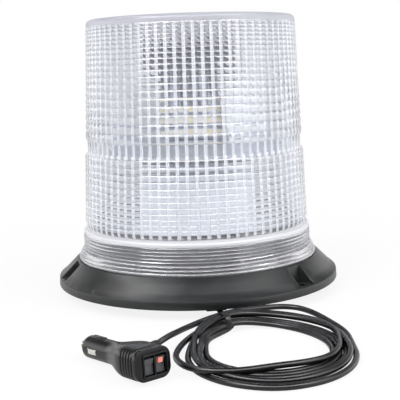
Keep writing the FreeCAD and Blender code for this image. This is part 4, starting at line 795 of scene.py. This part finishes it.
def plug_body_sections():
    """Rings of the plug body: barrel, flaring neck, ribbed head and its open end."""
    round_wide = 2 * BARREL_RADIUS
    stations = [(BARREL_START, round_wide - 1.2, round_wide - 1.2, 0, 0),
                (BARREL_START + 0.25, round_wide - 0.4, round_wide - 0.4, 0, 0),
                (BARREL_START + 0.8, round_wide, round_wide, 0, 0)]
    for step in range(1, 8):
        stations.append((BARREL_START + 3 * step - 1, round_wide, round_wide, 0, 0))
    flare = NECK_END - BARREL_END
    for step in range(15):
        share = step / 14
        ease = share * share * (3 - 2 * share)
        stations.append((BARREL_END + flare * share, round_wide + (HEAD_WIDTH - round_wide) * ease,
                         round_wide + (HEAD_TALL - round_wide) * ease, HEAD_SQUARENESS * ease, 0))
    for rib in range(RIB_COUNT):
        for ahead, cut in ((0, 0), (0.4, -0.8), (0.8, -0.8), (1.2, 0)):
            stations.append((RIB_START + RIB_PITCH * rib + ahead, HEAD_WIDTH, HEAD_TALL, HEAD_SQUARENESS,
                             cut))
    for ahead, less, squareness in ((-0.6, 0, HEAD_SQUARENESS), (-0.2, 0.2, HEAD_SQUARENESS),
                                    (0, 0.7, HEAD_SQUARENESS), (0, 3.6, 0.5), (-14.2, 3.6, 0.5)):
        stations.append((HEAD_END + ahead, HEAD_WIDTH - less, HEAD_TALL - less, squareness, 0))
    return [section(*station) for station in stations]


class BEACON_OT_plug(bpy.types.Operator):
    """Vehicle plug: body with ribbed grip, relief, bezel with a raised frame, rockers and top rib"""
    bl_idname = "beacon.plug"
    bl_label = "Plug"

    def execute(self, context):
        place = plug_matrix()
        body = skin("Plug_Body", plug_body_sections())
        bake_place(body, place)
        smooth(body, 50)
        finish(body, "plug_black", "base", "plug_shell_upper", "plug_shell_lower")
        clear_selection()
        bpy.ops.mesh.primitive_cube_add(size=MM, scale=(11, 3.2, 1.5), location=(16.5 * MM, 0, 5.6 * MM))
        ridge = bpy.context.object
        ridge.name = "Plug_Ridge"
        bake_place(ridge)
        modify(ridge, "BEVEL", width=0.6 * MM, segments=3)
        bake_place(ridge, place)
        smooth(ridge, 40)
        finish(ridge, "plug_black", "base")
        outline = [(0, -1.5), (2.6, -1.5), (2.6, 1.0)]
        for index in range(3):
            start = 1.1 + 1.7 * index
            thick = 2.5 - 0.15 * index
            outline += [(thick - 0.4, start), (thick - 0.4, start + 0.5), (thick, start + 0.6),
                        (thick - 0.05, start + 1.5)]
        outline += [(1.95, 6.3), (1.8, 6.5), (0, 6.5)]
        relief = turned("Plug_Relief", [(radius * MM, height * MM) for radius, height in outline], 28)
        spot, outward = plug_outlet()
        bake_place(relief, towards(outward, spot * MM))
        smooth(relief, 40)
        finish(relief, "black_rubber", "base", "plug_strain_relief")
        bezel = copy_of("plug_bezel", "Plug_Bezel", bevel=1.1, angle=40)
        finish(bezel, "plug_black", "base", "plug_bezel")
        for side in ("left", "right"):
            rocker = copy_of(f"rocker_{side}", f"Rocker_{side.title()}", bevel=0.4, angle=20)
            finish(rocker, "rocker_grey", f"{side}_switch", f"rocker_{side}")
        self.raised_frame(place)
        return {"FINISHED"}

    def raised_frame(self, place):
        """A raised frame round both rockers, on the bezel."""
        clear_selection()
        bpy.ops.mesh.primitive_plane_add(size=MM)
        piece = bpy.context.object
        piece.name = "Plug_Frame"
        for vertex in piece.data.vertices:
            across = SWITCH_SIDE + math.copysign(FRAME_ACROSS, vertex.co.x)
            up = math.copysign(FRAME_UP, vertex.co.y) - SWITCH_DROP
            vertex.co = Vector((FACE_END - 0.1, across, up)) * MM
        pick(piece)
        bpy.ops.object.mode_set(mode="EDIT")
        bpy.ops.mesh.select_all(action="SELECT")
        bpy.ops.mesh.bevel(offset=1.2 * MM, segments=4, affect="VERTICES")
        bpy.ops.mesh.select_all(action="SELECT")
        bpy.ops.mesh.inset(thickness=0.8 * MM, depth=0)
        bpy.ops.mesh.delete(type="FACE")
        bpy.ops.mesh.select_all(action="SELECT")
        bpy.ops.mesh.extrude_region_move(TRANSFORM_OT_translate={"value": (0.7 * MM, 0, 0)})
        bpy.ops.mesh.select_all(action="SELECT")
        bpy.ops.mesh.normals_make_consistent(inside=False)
        bpy.ops.object.mode_set(mode="OBJECT")
        modify(piece, "BEVEL", width=0.2 * MM, segments=2, limit_method="ANGLE",
               angle_limit=math.radians(40))
        bake_place(piece, place)
        smooth(piece, 40)
        finish(piece, "plug_black", "base")


# ---------------------------------------------------------------- carried solids

class BEACON_OT_carried(bpy.types.Operator):
    """Materials and smooth shading for every solid that is shown as it is"""
    bl_idname = "beacon.carried"
    bl_label = "Carried solids"

    def execute(self, context):
        for node, solid in frame["nodes"].items():
            if solid.hide_render:
                continue
            solid.data.materials.clear()
            solid.data.materials.append(finish_of(SLOT_OF[node]))
            solid.data.polygons.foreach_set("use_smooth", [True] * len(solid.data.polygons))
            weld = solid.modifiers.new("Weld", "WELD")
            weld.merge_threshold = 0.001 * MM
            split = solid.modifiers.new("Split", "EDGE_SPLIT")
            split.split_angle = math.radians(30)
        return {"FINISHED"}


# ---------------------------------------------------------------- stage

# Brightness of the white surroundings where they show through the lens
THROUGH_LENS = 0.78
# Brightness of the room in mirrors, away from its soft boxes, and on matt surfaces
ROOM_SHADE = 0.2
ROOM_LIGHT = 0.74
# Side of each soft light, and the point at which it is aimed, in metres
LAMP_SIZE = 0.9
LAMP_TARGET = (0, 0, 0.05)
# Place of the camera in millimetres, and how it is turned, in degrees
CAMERA_SPOT = (0, -595, 146.3)
CAMERA_PITCH, CAMERA_YAW, CAMERA_ROLL = 8.59, 0.27, -1.82


class BEACON_OT_stage(bpy.types.Operator):
    """Pale floor, white surroundings, soft lights and the camera"""
    bl_idname = "beacon.stage"
    bl_label = "Stage"

    def execute(self, context):
        sizes = context.scene.beacon_stage
        clear_selection()
        bpy.ops.mesh.primitive_plane_add(size=8)
        floor = context.object
        floor.name = "Floor"
        floor.data.materials.append(self.floor_paint())
        self.surroundings(context.scene)
        self.lamp("Key", (-0.75, -0.75, 1.05), sizes.key_power)
        self.lamp("Fill", (0.9, -0.5, 0.6), sizes.fill_power)
        bpy.ops.object.camera_add(location=Vector(CAMERA_SPOT) * MM)
        camera = context.object
        turn = (Matrix.Rotation(-math.radians(CAMERA_YAW), 3, "Z")
                @ Matrix.Rotation(math.radians(90 - CAMERA_PITCH), 3, "X")
                @ Matrix.Rotation(math.radians(CAMERA_ROLL), 3, "Z"))
        camera.rotation_euler = turn.to_euler()
        camera.data.sensor_width = 36
        camera.data.lens = sizes.focal_length
        camera.data.clip_start = 0.01
        context.scene.camera = camera
        context.scene.view_settings.view_transform = "Standard"
        return {"FINISHED"}

    def lamp(self, name, spot, power):
        """A square soft light aimed at the beacon."""
        bpy.ops.object.light_add(type="AREA", location=spot)
        lamp = bpy.context.object
        lamp.name = name
        lamp.data.size = LAMP_SIZE
        lamp.data.energy = power
        aim = Vector(LAMP_TARGET) - Vector(spot)
        lamp.rotation_euler = aim.to_track_quat("-Z", "Y").to_euler()

    def floor_paint(self):
        """White seamless paper, matt, with a little of its own white added for the camera."""
        material = bpy.data.materials.new("seamless_paper")
        material.use_nodes = True
        tree = material.node_tree
        tree.nodes.clear()
        place = add(tree, "TexCoord").outputs["Object"]
        fibre = add(tree, "TexNoise", {"Vector": place, "Scale": 900.0, "Detail": 2.0})
        bump = add(tree, "Bump", {"Height": fibre.outputs[0], "Distance": 0.02 * MM})
        paper = add(tree, "BsdfDiffuse", {"Color": linear("F4F4F4"), "Normal": bump.outputs[0]})
        rays = add(tree, "LightPath")
        through = maths(tree, "MULTIPLY_ADD", rays.outputs["Is Transmission Ray"], THROUGH_LENS - 1, 1.0)
        white = add(tree, "Emission", {"Color": (1, 1, 1, 1), "Strength": through})
        seen = maths(tree, "MAXIMUM", rays.outputs["Is Camera Ray"], rays.outputs["Is Transmission Ray"])
        away = add(tree, "VectorMath", {0: place}, operation="LENGTH").outputs["Value"]
        share = add(tree, "MapRange", {"Value": away, "From Min": 0.12, "From Max": 0.5, "To Min": 0.86,
                                       "To Max": 1.0}).outputs[0]
        part = maths(tree, "MULTIPLY", seen, share)
        mixed = add(tree, "MixShader", {0: part, 1: paper.outputs[0], 2: white.outputs[0]})
        add(tree, "OutputMaterial", {"Surface": mixed.outputs[0]})
        return material

    def surroundings(self, scene):
        """An even pale room, and a white background for the camera. In mirrors it shows as a dark room with
        two soft panels overhead, pale side walls and a white sweep behind."""
        world = bpy.data.worlds.new("Studio")
        scene.world = world
        world.use_nodes = True
        tree = world.node_tree
        tree.nodes.clear()
        direction = add(tree, "TexCoord").outputs["Generated"]
        parts = add(tree, "SeparateXYZ", {0: direction})
        across, deep, up = (parts.outputs[axis] for axis in "XYZ")
        low = fade(tree, up, 0.3, 0.5)
        high = fade(tree, up, 0.8, 0.68)
        steep = maths(tree, "MULTIPLY", fade(tree, up, 0.62, 0.5), fade(tree, up, 0.8, 0.9))
        left = maths(tree, "MULTIPLY", fade(tree, across, -0.46, -0.36), fade(tree, across, -0.56, -0.68))
        level = ROOM_SHADE
        for place, strength in (
                (maths(tree, "MULTIPLY", fade(tree, deep, 0.35, -0.2), low), 0.75),
                (maths(tree, "MULTIPLY", fade(tree, maths(tree, "ABSOLUTE", across), 0.8, 0.5), low), 1.5),
                (maths(tree, "MULTIPLY", left, high), 6),
                (maths(tree, "MULTIPLY", fade(tree, across, 0.5, 0.3), high), 2.4),
                (maths(tree, "MULTIPLY", fade(tree, deep, -0.4, -0.25), steep), 10)):
            level = maths(tree, "MULTIPLY_ADD", place, strength, level)
        panels = add(tree, "Background", {"Color": linear("F9F9FA"), "Strength": level})
        room = add(tree, "Background", {"Color": linear("F8F8F9"), "Strength": ROOM_LIGHT})
        rays = add(tree, "LightPath")
        through = maths(tree, "MULTIPLY_ADD", rays.outputs["Is Transmission Ray"], THROUGH_LENS - 1, 1.0)
        white = add(tree, "Background", {"Color": (1, 1, 1, 1), "Strength": through})
        seen = maths(tree, "MAXIMUM", rays.outputs["Is Camera Ray"], rays.outputs["Is Transmission Ray"])
        unseen = add(tree, "MixShader", {0: rays.outputs["Is Glossy Ray"], 1: room.outputs[0],
                                         2: panels.outputs[0]})
        mixed = add(tree, "MixShader", {0: seen, 1: unseen.outputs[0], 2: white.outputs[0]})
        add(tree, "OutputWorld", {"Surface": mixed.outputs[0]})


# ---------------------------------------------------------------- panel and run

class BEACON_PT_panel(bpy.types.Panel):
    """Sizes and steps of the beacon"""
    bl_label = "Beacon"
    bl_idname = "BEACON_PT_panel"
    bl_space_type = "VIEW_3D"
    bl_region_type = "UI"
    bl_category = "Beacon"

    def draw(self, context):
        for group in (context.scene.beacon_lens, context.scene.beacon_cord, context.scene.beacon_stage):
            for name in group.__annotations__:
                self.layout.prop(group, name)
        for step in STEPS:
            self.layout.operator(step.bl_idname)


STEPS = (BEACON_OT_lens, BEACON_OT_base, BEACON_OT_plug, BEACON_OT_tie, BEACON_OT_cord, BEACON_OT_carried,
         BEACON_OT_stage)
GROUPS = (LensSizes, CordSizes, StageSizes)


def register():
    """Registers the classes and hangs the sizes on the scene."""
    for kind in GROUPS + STEPS + (BEACON_PT_panel,):
        bpy.utils.register_class(kind)
    bpy.types.Scene.beacon_lens = PointerProperty(type=LensSizes)
    bpy.types.Scene.beacon_cord = PointerProperty(type=CordSizes)
    bpy.types.Scene.beacon_stage = PointerProperty(type=StageSizes)


def unregister():
    """Takes all that register added away again."""
    del bpy.types.Scene.beacon_stage
    del bpy.types.Scene.beacon_cord
    del bpy.types.Scene.beacon_lens
    for kind in reversed(GROUPS + STEPS + (BEACON_PT_panel,)):
        bpy.utils.unregister_class(kind)


def main():
    """Builds every piece."""
    register()
    bpy.ops.beacon.lens()
    bpy.ops.beacon.base()
    bpy.ops.beacon.plug()
    bpy.ops.beacon.tie()
    bpy.ops.beacon.cord()
    bpy.ops.beacon.carried()
    bpy.ops.beacon.stage()


if __name__ == "__main__":
    main()
